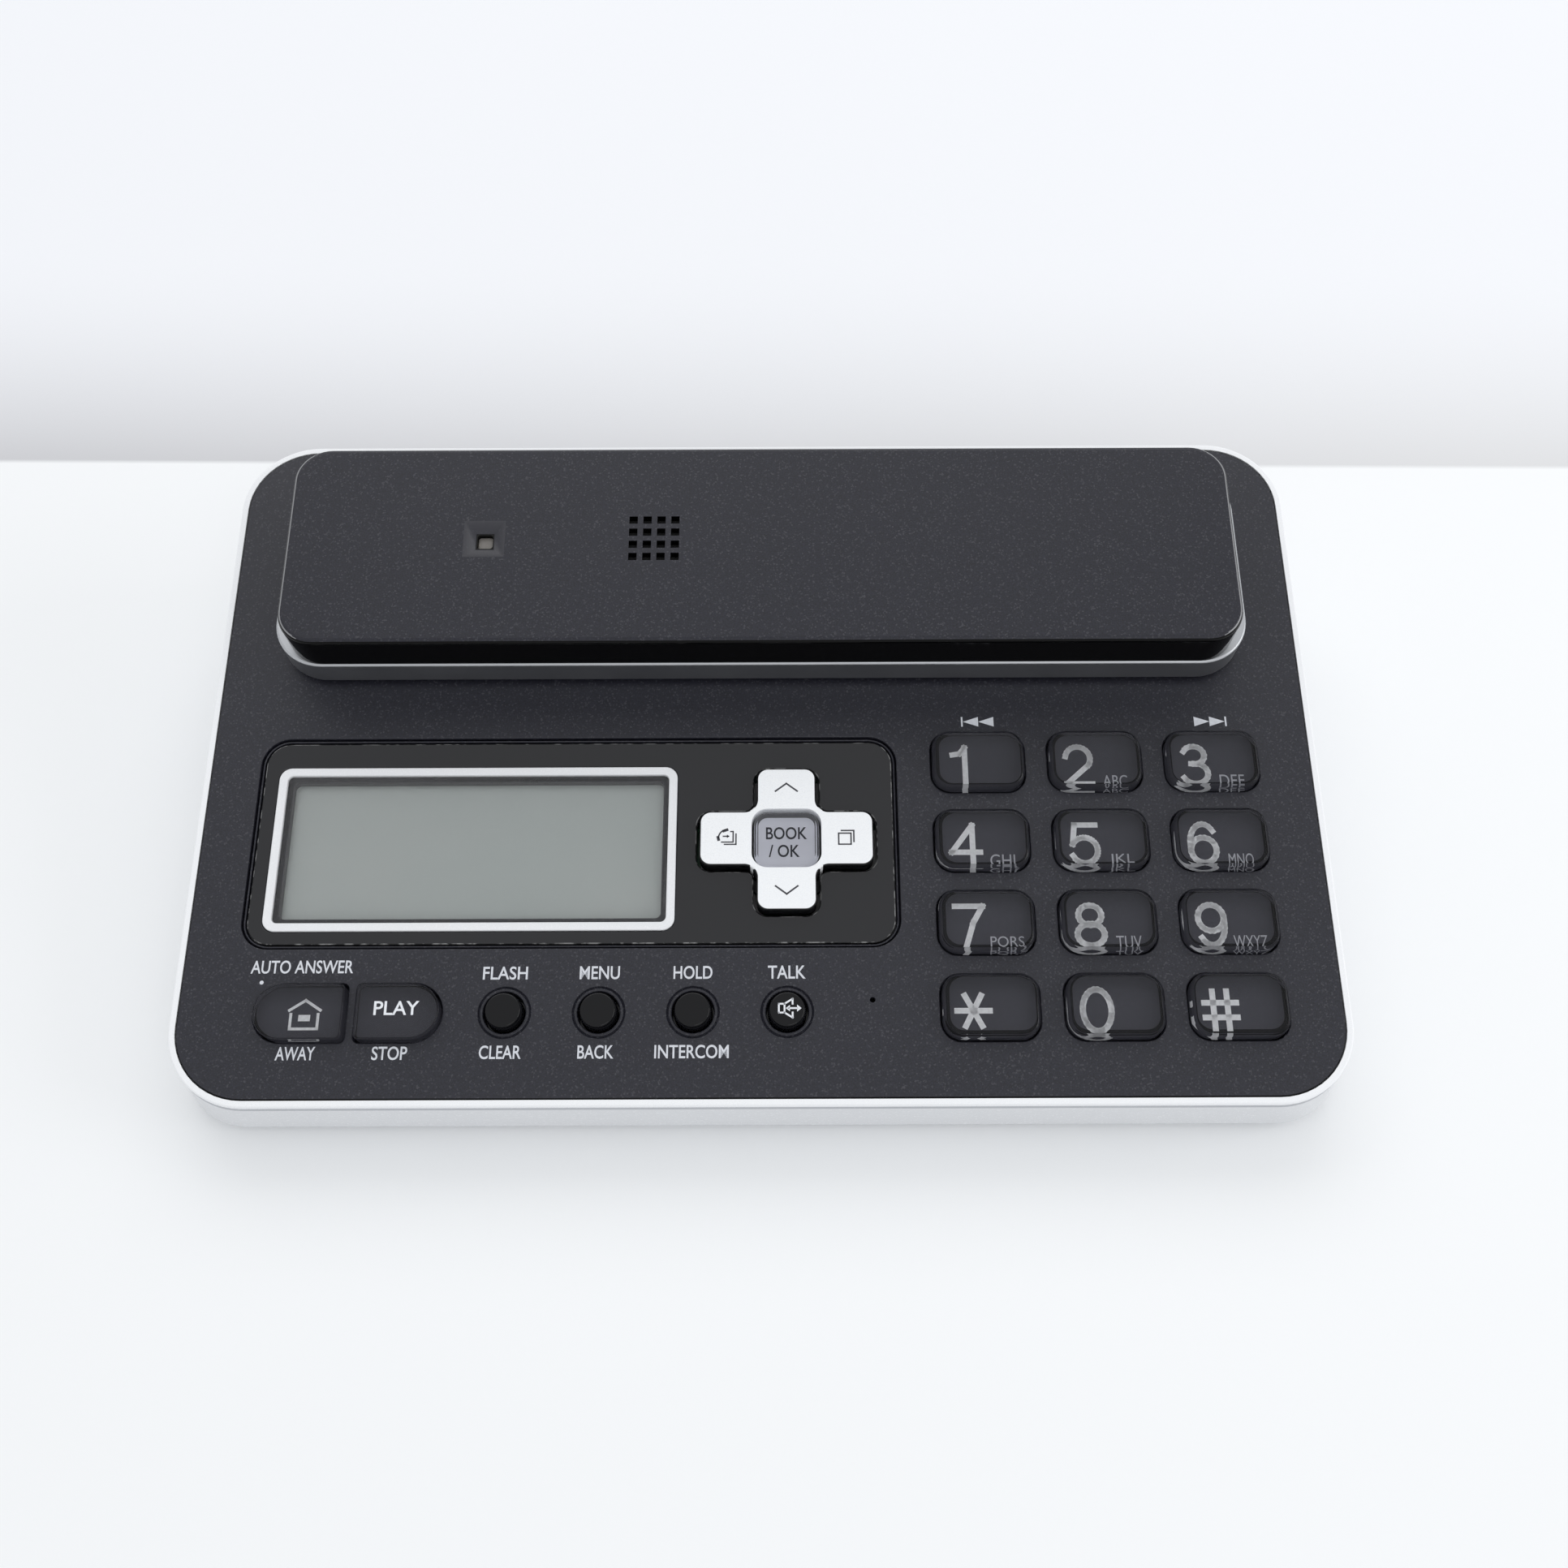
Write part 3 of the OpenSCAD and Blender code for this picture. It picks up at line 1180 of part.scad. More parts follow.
// Silver band around the handset, with its edges rounded
module handset_band() {
    color("silver") at_handset() difference() {
        union() {
            soft_slab(hs_l, hs_w, hs_r, band_mid_z, band_z1, band_edge);
            translate([0, 0, 2 * band_mid_z]) mirror([0, 0, 1])
                soft_slab(hs_l, hs_w, hs_r, band_mid_z, band_z1, band_edge);
        }
        slab(hs_l - 2 * band_t, hs_w - 2 * band_t, hs_r - band_t, hs_lift - 1, band_z1 - band_lip);
        slab(hs_l - 2 * (back_inset_x + back_wall), hs_w - 2 * band_t, hs_r - band_t, hs_lift - 1, band_z1 + 1);
    }
}

// Face shell of the handset: a tray with the ear slots, key openings, battery bay, charging windows and screw posts
module handset_front() {
    l = hs_l - 2 * front_inset;
    w = hs_w - 2 * front_inset;
    r = hs_r - front_inset;
    wall_z = band_z1 - 2;
    color("darkslategray") at_handset() difference() {
        union() {
            difference() {
                slab(l, w, r, face_z, wall_z);
                slab(l - 2 * front_wall, w - 2 * front_wall, r - front_wall, face_in_z, wall_z + 1);
            }
            difference() {
                slab(l + 2 * lip_w, w + 2 * lip_w, r + lip_w, hs_lift - lip_t, hs_lift);
                slab(l - 1, w - 1, r - 0.5, hs_lift - lip_t - 1, hs_lift + 1);
            }
            at_hs_screws(face_in_z - skin) cylinder(r = 3, h = hs_post_z - face_in_z + skin);
            for (p = hs_pegs) translate([p[0], p[1], face_in_z - skin]) {
                cylinder(r = 1.6, h = hs_board_z - face_in_z + skin);
                cylinder(r = peg_r, h = hs_board_top + 0.6 - face_in_z + skin);
            }
            translate([ear_c[0], ear_c[1], face_in_z - skin]) difference() {
                cylinder(r = receiver_r + 1.4, h = 2.4);
                translate([0, 0, -1]) cylinder(r = receiver_r + seat_gap, h = 5);
            }
        }
        for (p = hs_keys) translate(p) slab(hs_key_l, hs_key_w, hs_key_r, face_z - 1, face_in_z + 1);
        translate(bay_c) slab(bay_l, bay_w, 2, face_z - 1, face_in_z + 1);
        for (s = [-1, 1]) translate([hs_l / 2 - pad_x, s * pad_y, 0]) slab(pad_l, pad_w, 0.8, face_z - 1, face_in_z + 1);
        for (i = [-2 : 2]) translate([ear_c[0] + i * 2.4, ear_c[1], 0])
            slab(1.1, 9 - abs(i) * 1.6, 0.5, face_z - 1, face_in_z + 1);
        translate([hs_mic_c[0], hs_mic_c[1], face_z - 1]) cylinder(r = 0.6, h = front_wall + 2);
        at_hs_screws(face_z - 1) {
            cylinder(r = hs_screw_r + through_gap, h = hs_post_z - face_z + 2);
            cylinder(r = hs_head_r + 0.3, h = 1 + screw_head_h + 0.8);
        }
    }
}

// Lamp lens in the recess, with a light guide down to the board
module handset_lamp() {
    color("wheat") at_handset() translate([lamp_c[0], lamp_c[1], 0]) {
        translate([0, 0, hs_board_top]) linear_extrude(back_z1 - lamp_depth - 0.1 - hs_board_top)
            square(lens_w, center = true);
        translate([0, 0, back_in_z - 1.1]) linear_extrude(1) square(lens_w + 2, center = true);
    }
}

// Handset board over the keys, on four pegged posts between the receiver and the battery
module handset_board() {
    color("seagreen") at_handset() difference() {
        union() {
            translate([hs_board_x0, -hs_board_w / 2, hs_board_z])
                cube([hs_board_x1 - hs_board_x0, hs_board_w, hs_board_t]);
            translate([hs_board_x0 + 26, -8, hs_board_top - skin]) cube([16, 14, 2]);
        }
        for (p = hs_pegs) translate([p[0], p[1], hs_board_z - 1]) cylinder(r = peg_r + seat_gap, h = hs_board_t + 2);
    }
}

module handset_key_mat() {
    w = hs_pitch_y + hs_key_w + 2;
    color("lightgray") at_handset() {
        translate([hs_keys[0][0] - hs_key_l / 2 - 1, -w / 2, hs_mat_z]) cube([hs_pitch_x + hs_key_l + 2, w, mat_t]);
        for (p = hs_keys) translate([p[0], p[1], hs_dome_z]) cylinder(r = stem_r + 0.4, h = dome_h + skin);
    }
}

// Two cells side by side in one pack, lying on the battery cover
module handset_battery() {
    cover_z = face_z + 1.2;
    color("forestgreen") at_handset() translate([bay_c[0], 0, cover_z + cell_r]) {
        for (s = [-1, 1]) translate([-cell_l / 2, s * (cell_r + 0.05), 0]) rotate([0, 90, 0])
            cylinder(r = cell_r, h = cell_l);
        translate([-cell_l / 2 + 3, -cell_r, -0.8]) cube([cell_l - 6, 2 * cell_r, 1.6]);
    }
}

// Cover of the battery bay, with a clip at each end that hooks behind the face shell
module handset_battery_cover() {
    clip_x = cell_l / 2 + 0.4;
    color("darkslategray") at_handset() translate(bay_c) {
        slab(bay_l - 2 * seat_gap - 0.2, bay_w - 2 * seat_gap - 0.2, 1.8, face_z, face_z + 1.2);
        for (s = [0, 1]) mirror([s, 0, 0]) translate([clip_x, -4, face_z + 1]) {
            cube([bay_l / 2 - 0.5 - clip_x, 8, front_wall - 1 + 0.1]);
            translate([0, 0, front_wall - 1]) cube([bay_l / 2 + 1 - clip_x, 8, 0.8]);
        }
    }
}

// Ear capsule over the ear slots
module handset_receiver() {
    color("darkgray") at_handset() translate([ear_c[0], ear_c[1], face_in_z]) {
        cylinder(r = receiver_r, h = receiver_h * 0.6);
        cylinder(r = receiver_r * 0.6, h = receiver_h);
    }
}

// Ringer in its collar under the sound grille
module handset_ringer() {
    color("darkgray") at_handset() translate([grille_c[0], grille_c[1], back_in_z - ringer_h - 0.6])
        cylinder(r = ringer_r, h = ringer_h + 0.6);
}

module handset_microphone() {
    color("black") at_handset() translate([hs_mic_c[0], hs_mic_c[1], face_in_z]) cylinder(r = mic_r, h = hs_mic_h);
}

// Charging pads inside their windows in the face shell
module handset_contacts() {
    color("gold") at_handset() for (s = [-1, 1]) translate([hs_l / 2 - pad_x, s * pad_y, 0])
        slab(pad_l + 1.4, pad_w + 1.4, 0.8, face_in_z, face_in_z + 0.5);
}

module handset_screws() {
    color("lightslategray") at_handset() at_hs_screws(face_z + screw_head_h + 0.8)
        screw(hs_screw_r, hs_head_r, hs_post_z - face_z + 2);
}

// Handset key, pressed upwards into the face-down handset
module handset_key(i) {
    color("dimgray") at_handset() translate([hs_keys[i][0], hs_keys[i][1], 0]) {
        mirror([0, 0, 1]) soft_slab(hs_key_l - 2 * key_gap, hs_key_w - 2 * key_gap, hs_key_r - key_gap,
            -hs_flange_z - skin, -face_z + hs_key_rise, 0.5);
        slab(hs_key_l + 2 * flange_w, hs_key_w + 2 * flange_w, hs_key_r + flange_w,
            hs_flange_z, hs_flange_z + flange_t);
        translate([0, 0, hs_flange_z]) cylinder(r = stem_r, h = hs_stem_z - hs_flange_z);
    }
}

bottom_case();
trim_frame();
top_panel();
window_plate();
display_bezel();
display_window();
display_module();
nav_pivot_ring();
nav_key();
select_key();
for (i = [0 : len(dial_names) - 1])
    dial_key(i);
answer_key();
play_key();
for (i = [0 : round_count - 1])
    round_key(i);
key_mat();
main_board();
board_screws();
jack_board();
loudspeaker();
base_microphone();
line_jack();
power_jack();
charge_contacts();
rubber_feet();
case_screws();
handset_back();
handset_band();
handset_front();
handset_lamp();
handset_board();
handset_key_mat();
handset_battery();
handset_battery_cover();
handset_receiver();
handset_ringer();
handset_microphone();
handset_contacts();
handset_screws();
for (i = [0 : len(hs_key_names) - 1])
    handset_key(i);
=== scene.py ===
from math import cos, radians, sin, tan

import bmesh
import bpy
from mathutils import Matrix, Vector


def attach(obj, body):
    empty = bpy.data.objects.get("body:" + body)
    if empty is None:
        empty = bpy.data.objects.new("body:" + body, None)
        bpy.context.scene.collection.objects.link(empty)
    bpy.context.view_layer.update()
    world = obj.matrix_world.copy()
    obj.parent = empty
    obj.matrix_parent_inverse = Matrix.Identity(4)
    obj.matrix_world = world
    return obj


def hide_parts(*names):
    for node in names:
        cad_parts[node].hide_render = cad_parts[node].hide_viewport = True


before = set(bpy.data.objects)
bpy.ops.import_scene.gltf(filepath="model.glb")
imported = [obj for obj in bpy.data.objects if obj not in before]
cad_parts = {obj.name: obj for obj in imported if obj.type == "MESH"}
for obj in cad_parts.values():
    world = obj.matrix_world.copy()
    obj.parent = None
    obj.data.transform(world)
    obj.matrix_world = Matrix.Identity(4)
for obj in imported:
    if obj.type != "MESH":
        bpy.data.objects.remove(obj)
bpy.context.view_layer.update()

# The phone stands on a table, and its top panel slopes down towards the user.
# Lengths below are millimetres on that panel: X to the right, Y to the rear from its front edge, Z out of its
# face. STANCE turns them into the metres of the shared frame.
SLOPE, FRONT_EDGE, BACKSET = 10, 13, -61.9605
STANCE = (Matrix.Translation((0, BACKSET / 1000, FRONT_EDGE / 1000))
          @ Matrix.Rotation(radians(SLOPE), 4, "X") @ Matrix.Scale(0.001, 4))


# Lower case: one satin silver-grey moulding in ABS, a hollow wedge with a lightly grained skin.
# It is screwed to the panel from below, and has the feet's seats, the sound slots and the jack windows in it.
# A grey strip runs round its upper edge, from the rim down to SEAM: painted shade below the rim.
class Paint:
    """A value or colour on its way through a finish's nodes; sums and products add Math nodes."""

    def __init__(self, tree, socket=None):
        self.tree, self.socket = tree, socket

    def node(self, kind, settings={}, sockets={}, out=0):
        made = self.tree.nodes.new("ShaderNode" + kind)
        for key, value in settings.items():
            setattr(made, key, value)
        for key, value in sockets.items():
            if isinstance(value, Paint):
                self.tree.links.new(value.socket, made.inputs[key])
            else:
                made.inputs[key].default_value = value
        return Paint(self.tree, made.outputs[out])

    def math(self, operation, first, second):
        return self.node("Math", {"operation": operation}, {0: first, 1: second})

    def __add__(self, other):
        return self.math("ADD", self, other)

    def __sub__(self, other):
        return self.math("SUBTRACT", self, other)

    def __rsub__(self, other):
        return self.math("SUBTRACT", other, self)

    def __mul__(self, other):
        return self.math("MULTIPLY", self, other)

    __radd__, __rmul__ = __add__, __mul__

    def between(self, low, high):
        """0 at low, 1 at high, and held there beyond them."""
        return self.node("MapRange", {"clamp": True}, {"Value": self, "From Min": low, "From Max": high})

    def mix(self, first, second):
        """The first colour where this value is 0, the second where it is 1."""
        colours = {key: value if isinstance(value, Paint) else (*value, 1)
                   for key, value in ((6, first), (7, second))}
        return self.node("Mix", {"data_type": "RGBA"}, {0: self, **colours}, out=2)

    def feed(self, **sockets):
        shader = self.tree.nodes["Principled BSDF"]
        for key, value in sockets.items():
            self.tree.links.new(value.socket, shader.inputs[key.replace("_", " ")])

    def relief(self, height, depth):
        bump = self.node("Bump", {}, {"Height": height, "Distance": depth / 1000, "Strength": 1.0})
        self.feed(Normal=bump)

    def place(self):
        return self.node("TexCoord", out="Object")

    def noise(self, size, detail=2.0):
        return self.node("TexNoise", {}, {"Vector": self.place(), "Scale": 1000 / size, "Detail": detail})


def finish(name, colour, roughness, **constants):
    """A new finish with its constant values set, and the start of its nodes."""
    material = bpy.data.materials.new(name)
    material.use_nodes = True
    shader = material.node_tree.nodes["Principled BSDF"]
    shader.inputs["Base Color"].default_value = (*colour, 1)
    shader.inputs["Roughness"].default_value = roughness
    for key, value in constants.items():
        shader.inputs[key.replace("_", " ")].default_value = value
    return material, Paint(material.node_tree)


def grained(name, colour, fleck, roughness, grain=0.3, depth=0.006, flecks=0.12, mottle=0.03, **constants):
    """Moulded plastic: fine spark-eroded grain, small lighter flecks, and broad wear in the sheen."""
    material, paint = finish(name, colour, roughness, **constants)
    fine, broad = paint.noise(grain), paint.noise(45, 3.0)
    cells = paint.node("TexVoronoi", {}, {"Vector": paint.place(), "Scale": 1000 / grain}, out="Color")
    chosen = paint.node("SeparateColor", {}, {"Color": cells})
    mask = chosen.between(1 - flecks, 1 - flecks * 0.4) * fine.between(0.3, 0.55)
    dark, pale = ([c * (1 + change) for c in colour] for change in (-mottle, mottle))
    mottled = fine.between(0.3, 0.7).mix(dark, pale)
    paint.feed(Base_Color=mask.mix(mottled, fleck),
               Roughness=roughness + (fine - 0.5) * 0.16 + (broad - 0.5) * 0.1)
    paint.relief(fine, depth)
    return material


def piece(name, mesh, materials, body, *nodes, slot=None):
    """Links a finished mesh, lets it ride on its body, and hides the solids that it stands for."""
    for material in materials:
        mesh.materials.append(material)
    made = bpy.data.objects.new(name, mesh)
    bpy.context.scene.collection.objects.link(made)
    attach(made, body)
    if nodes:
        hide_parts(*nodes)
    return made


def evaluated(source, modifiers={}):
    """A plain mesh of a mesh or curve, with the modifiers given by type and settings applied."""
    holder = bpy.data.objects.new("holder", source)
    bpy.context.scene.collection.objects.link(holder)
    for kind, settings in modifiers.items():
        made = holder.modifiers.new(kind.lower(), kind)
        for key, value in settings.items():
            setattr(made, key, value)
    mesh = bpy.data.meshes.new_from_object(holder.evaluated_get(bpy.context.evaluated_depsgraph_get()))
    bpy.data.objects.remove(holder)
    mesh.materials.clear()
    return mesh


def moulded(node, edge, cut=None):
    """The node's own solid as one skin, with sharp edges eased by edge millimetres.

    Its faces are parted along a height of the panel's frame where cut gives one.
    """
    skin = bmesh.new()
    skin.from_mesh(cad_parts[node].data)
    bmesh.ops.remove_doubles(skin, verts=skin.verts, dist=2e-6)
    bmesh.ops.dissolve_limit(skin, angle_limit=radians(0.6), verts=skin.verts, edges=skin.edges)
    if cut is not None:
        up = STANCE.to_3x3() @ Vector((0, 0, 1))
        bmesh.ops.bisect_plane(skin, geom=skin.verts[:] + skin.edges[:] + skin.faces[:], dist=1e-7,
                               plane_co=STANCE @ Vector((0, 0, cut)), plane_no=up)
    mesh = bpy.data.meshes.new(node + "_skin")
    skin.to_mesh(mesh)
    skin.free()
    mesh.shade_smooth()
    mesh.set_sharp_from_angle(angle=radians(32))
    modifiers = {"WEIGHTED_NORMAL": {"keep_sharp": True, "weight": 80}}
    if edge:
        modifiers = {"BEVEL": {"width": edge / 1000, "segments": 2, "limit_method": "ANGLE",
                               "angle_limit": radians(32), "use_clamp_overlap": False}, **modifiers}
    made = evaluated(mesh, modifiers)
    made.name = node + "_moulded"
    return made


def two_tone(mesh, choose):
    """Gives each face the finish whose number choose(normal, middle) in the panel's frame says."""
    back = STANCE.inverted()
    turn = back.to_3x3().normalized()
    for face in mesh.polygons:
        face.material_index = int(choose(turn @ face.normal, back @ face.center))
    return mesh


case_silver = grained("case_silver", (0.72, 0.73, 0.75), (0.80, 0.81, 0.83), 0.42, grain=0.3)
# The grey strip under the rim is painted shade.
painted_seam_shade = grained("painted_seam_shade", (0.46, 0.47, 0.50), (0.52, 0.53, 0.56), 0.5, grain=0.3)
SEAM = -2.1
shell = two_tone(moulded("bottom_case", 0, SEAM), lambda normal, middle: middle.z > SEAM)
piece("lower_case", shell, [case_silver, painted_seam_shade], "base", "bottom_case", slot="case_silver")

# Rubber feet: four black discs, pressed into their seats in the floor.
# The case screws stand in deep counterbores and pull the lower case up against the panel's bosses.
rubber_black = grained("rubber_black", (0.014, 0.014, 0.015), (0.03, 0.03, 0.03), 0.8, grain=0.4,
                       depth=0.02)
piece("feet", moulded("rubber_feet", 0.4), [rubber_black], "base", "rubber_feet", slot="rubber_black")


def brushed(name, colour, roughness):
    """Plated metal with fine turning marks."""
    material, paint = finish(name, colour, roughness, Metallic=1.0)
    marks = paint.noise(0.4)
    paint.feed(Roughness=roughness + (marks - 0.5) * 0.2)
    paint.relief(marks, 0.004)
    return material


def dress(material, *nodes):
    """Gives solids that keep their own shape a finish."""
    for node in nodes:
        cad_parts[node].data.materials.clear()
        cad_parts[node].data.materials.append(material)


screw_steel = brushed("screw_steel", (0.52, 0.52, 0.53), 0.32)
dress(screw_steel, "case_screws", "board_screws", "handset_screws")
dress(rubber_black, "base_microphone", "handset_microphone")

# Jacks: two black mouldings on a small board, behind windows in the rear wall.
# Six gold-plated wires slant down through the line jack's socket, each bent from round wire.
jack_black = grained("jack_black", (0.018, 0.018, 0.019), (0.03, 0.03, 0.03), 0.45, grain=0.35)
piece("line_jack_body", moulded("line_jack", 0.2), [jack_black], "base", "line_jack", slot="jack_black")
piece("power_jack_body", moulded("power_jack", 0.15), [jack_black], "base", "power_jack", slot="jack_black")
contact_gold = brushed("contact_gold", (0.83, 0.62, 0.25), 0.22)
dress(contact_gold, "charge_contacts", "handset_contacts")


class Nodes:
    """A geometry tree with named inputs, and a short way to add its nodes."""

    def __init__(self, name, **inputs):
        self.tree = bpy.data.node_groups.new(name, "GeometryNodeTree")
        for key, kind in inputs.items():
            self.tree.interface.new_socket(key, in_out="INPUT", socket_type="NodeSocket" + kind)
        self.tree.interface.new_socket("Result", in_out="OUTPUT", socket_type="NodeSocketGeometry")
        self.given = self.tree.nodes.new("NodeGroupInput").outputs

    def add(self, kind, settings={}, sockets={}):
        made = self.tree.nodes.new(kind)
        for key, value in settings.items():
            setattr(made, key, value)
        for key, value in sockets.items():
            if isinstance(value, bpy.types.NodeSocket):
                self.tree.links.new(value, made.inputs[key])
            else:
                made.inputs[key].default_value = value
        return made.outputs

    def close(self, result, material):
        """Ends the tree: instances made real, and the finish set on them."""
        real = self.add("GeometryNodeRealizeInstances", {}, {"Geometry": result})
        done = self.add("GeometryNodeSetMaterial", {}, {"Geometry": real[0], "Material": material})
        self.add("NodeGroupOutput", {}, {"Result": done[0]})

    def along(self, paths, **values):
        """The mesh that the tree makes along paths, each a list of points."""
        points, edges = [], []
        for path in paths:
            edges += [(len(points) + i, len(points) + i + 1) for i in range(len(path) - 1)]
            points += [(*point, 0)[:3] for point in path]
        drawn = bpy.data.meshes.new("path")
        drawn.from_pydata(points, edges, [])
        holder = bpy.data.objects.new("path", drawn)
        bpy.context.scene.collection.objects.link(holder)
        modifier = holder.modifiers.new("nodes", "NODES")
        modifier.node_group = self.tree
        for socket in self.tree.interface.items_tree:
            if socket.name in values:
                modifier[socket.identifier] = values[socket.name]
        mesh = bpy.data.meshes.new_from_object(holder.evaluated_get(bpy.context.evaluated_depsgraph_get()))
        holder.modifiers.remove(modifier)
        bpy.data.objects.remove(holder)
        return mesh


wire = Nodes("bent_wire", Path="Geometry", Radius="Float", Metal="Material")
curve = wire.add("GeometryNodeMeshToCurve", {}, {"Mesh": wire.given["Path"]})
bent = wire.add("GeometryNodeFilletCurve", {"mode": "POLY"}, {"Curve": curve[0], "Radius": 0.8, "Count": 6})
section = wire.add("GeometryNodeCurvePrimitiveCircle", {}, {"Resolution": 10, "Radius": wire.given["Radius"]})
tube = wire.add("GeometryNodeCurveToMesh", {},
                {"Curve": bent[0], "Profile Curve": section[0], "Fill Caps": True})
wire.close(tube[0], wire.given["Metal"])
JACK_X, JACK_FACE, SOCKET_FLOOR, WIRES, WIRE_PITCH = 30, 59.8785, 9.6, 6, 1.02
runs = []
for i in range(WIRES):
    x = JACK_X + (i - (WIRES - 1) / 2) * WIRE_PITCH
    runs.append([(x, JACK_FACE - 1.6, SOCKET_FLOOR - 0.2), (x, JACK_FACE - 1.6, SOCKET_FLOOR + 0.5),
                 (x, JACK_FACE - 9.5, SOCKET_FLOOR + 3.9), (x, JACK_FACE - 11.9, SOCKET_FLOOR + 3.9)])
wires = wire.along(runs, Radius=0.2, Metal=contact_gold)
wires.transform(Matrix.Scale(0.001, 4))
wires.shade_smooth()
wires.materials.clear()
piece("line_jack_wires", wires, [contact_gold], "base")

# Rim: a thin frame sprayed silver-white, clamped between the two shells.
# Its flat flange covers the lip of the lower case, and its inner ledge carries the panel.
rim_silver = grained("rim_silver", (0.89, 0.90, 0.92), (0.93, 0.94, 0.95), 0.3, grain=0.15, depth=0.001)
piece("rim", moulded("trim_frame", 0.05), [rim_silver], "base", "trim_frame", slot="rim_silver")

# Top panel: charcoal ABS with a fine matt grain, pierced for every key and dished for the handset.
# The window plate lies in a bed in it, and the main board hangs from its bosses. Its outer edge is painted
# near-black as shade.
CHARCOAL = {"colour": (0.0115, 0.0118, 0.0195), "fleck": (0.042, 0.042, 0.052), "roughness": 0.46,
            "grain": 0.27, "flecks": 0.15, "mottle": 0.4}
charcoal = grained("charcoal", **CHARCOAL)
# The near-black finish on the panel's outer edge is painted shade.
painted_edge_shade = grained("painted_edge_shade", (0.004, 0.004, 0.005), (0.008, 0.008, 0.009), 0.6, Specular_IOR_Level=0.2)
PANEL_W, PANEL_D, PANEL_R = 196, 125.6, 12.4


def outer_edge(normal, middle):
    """Whether a face is on the panel's outer edge."""
    out = Vector((abs(middle.x) - PANEL_W / 2 + PANEL_R,
                  abs(middle.y - PANEL_D / 2) - PANEL_D / 2 + PANEL_R))
    reach = out.length if min(out) > 0 else max(out)
    return abs(normal.z) < 0.95 and reach > PANEL_R - 0.3


shell = two_tone(moulded("top_panel", 0.15), outer_edge)
piece("panel", shell, [charcoal, painted_edge_shade], "base", "top_panel", slot="panel_charcoal")


# Window plate: a polished black sheet in the panel's bed, around the display and the four-way key.
# Its outer edge and the edge around the four-way key have picked up a little pale wear.
def polished(name, colour, roughness, smear=0.05, **constants):
    """Polished plastic with faint smears in its gloss."""
    material, paint = finish(name, colour, roughness, **constants)
    paint.feed(Roughness=roughness + paint.noise(14, 4.0).between(0.4, 0.75) * smear)
    return material


plate_black = polished("plate_black", (0.011, 0.011, 0.013), 0.06)
plate_worn, paint = finish("plate_worn", (0.2, 0.2, 0.2), 0.5)
patches = paint.noise(1.6, 4.0).between(0.48, 0.6)
paint.feed(Base_Color=patches.mix((0.012, 0.012, 0.013), (0.26, 0.26, 0.26)))
OPENING_LEFT, OPENING_RIGHT, OPENING_FRONT, OPENING_REAR = -86.6, -14.2, 28.3, 60.1


def worn_edge(normal, middle):
    """Whether a face is on an eased edge of the plate, other than the display's opening."""
    display = OPENING_LEFT < middle.x < OPENING_RIGHT and OPENING_FRONT < middle.y < OPENING_REAR
    return 0.05 < normal.z < 0.95 and not display


sheet = two_tone(moulded("window_plate", 0.18), worn_edge)
piece("window_sheet", sheet, [plate_black, plate_worn], "base", "window_plate", slot="plate_black")

# Display: a silver-white frame, a clear pane dropped into it, and the grey-green cell on its carrier below.
# The cell lies deep in the frame, whose walls shade its edges.
bezel_silver = grained("bezel_silver", (0.82, 0.83, 0.85), (0.88, 0.89, 0.91), 0.36, grain=0.15,
                       depth=0.001, flecks=0.2)
piece("display_frame", moulded("display_bezel", 0.15), [bezel_silver], "base", "display_bezel",
      slot="bezel_silver")
window_clear = polished("window_clear", (1.0, 1.0, 1.0), 0.01, smear=0.02, Transmission_Weight=1.0,
                        IOR=1.49)
piece("pane", moulded("display_window", 0.05), [window_clear], "base", "display_window",
      slot="window_clear")
lcd, paint = finish("lcd", (0.51, 0.56, 0.55), 0.25)
haze = paint.noise(35).between(0.3, 0.7)
paint.feed(Base_Color=haze.mix((0.495, 0.55, 0.535), (0.53, 0.57, 0.555)))
piece("display_cell", moulded("display_module", 0.1), [lcd], "base", "display_module", slot="lcd")


# Four-way key: a satin white cross on a black skirt, which rocks on a hidden ring.
# Its signs are printed in dark grey: two chevrons, a call list and a stack of pages.
def ink(name, colour, **constants):
    """Printed ink, slightly uneven."""
    material, paint = finish(name, colour, 0.5, **constants)
    uneven = paint.noise(0.5).between(0.3, 0.7)
    paint.feed(Base_Color=uneven.mix([0.88 * c for c in colour], colour))
    return material


# Flat bars of ink, one along every edge of a drawn path.
pen = Nodes("printed_strokes", Path="Geometry", Width="Float", Ink="Material")
ends = pen.add("GeometryNodeInputMeshEdgeVertices")
run = pen.add("ShaderNodeVectorMath", {"operation": "SUBTRACT"},
              {0: ends["Position 2"], 1: ends["Position 1"]})
kept = pen.tree.nodes.new("GeometryNodeCaptureAttribute")
kept.domain = "EDGE"
kept.capture_items.new("VECTOR", "Run")
pen.tree.links.new(pen.given["Path"], kept.inputs["Geometry"])
pen.tree.links.new(run[0], kept.inputs["Run"])
middles = pen.add("GeometryNodeMeshToPoints", {"mode": "EDGES"}, {"Mesh": kept.outputs["Geometry"]})
length = pen.add("ShaderNodeVectorMath", {"operation": "LENGTH"}, {0: kept.outputs["Run"]})
reach = pen.add("ShaderNodeMath", {"operation": "ADD"}, {0: length["Value"], 1: pen.given["Width"]})
size = pen.add("ShaderNodeCombineXYZ", {}, {"X": reach[0], "Y": pen.given["Width"], "Z": 1.0})
turned = pen.add("FunctionNodeAlignRotationToVector", {"axis": "X", "pivot_axis": "Z"},
                 {"Vector": kept.outputs["Run"]})
bar = pen.add("GeometryNodeMeshGrid", {}, {"Size X": 1.0, "Size Y": 1.0, "Vertices X": 2, "Vertices Y": 2})
bars = pen.add("GeometryNodeInstanceOnPoints", {}, {"Points": middles[0], "Instance": bar["Mesh"],
                                                    "Rotation": turned[0], "Scale": size[0]})
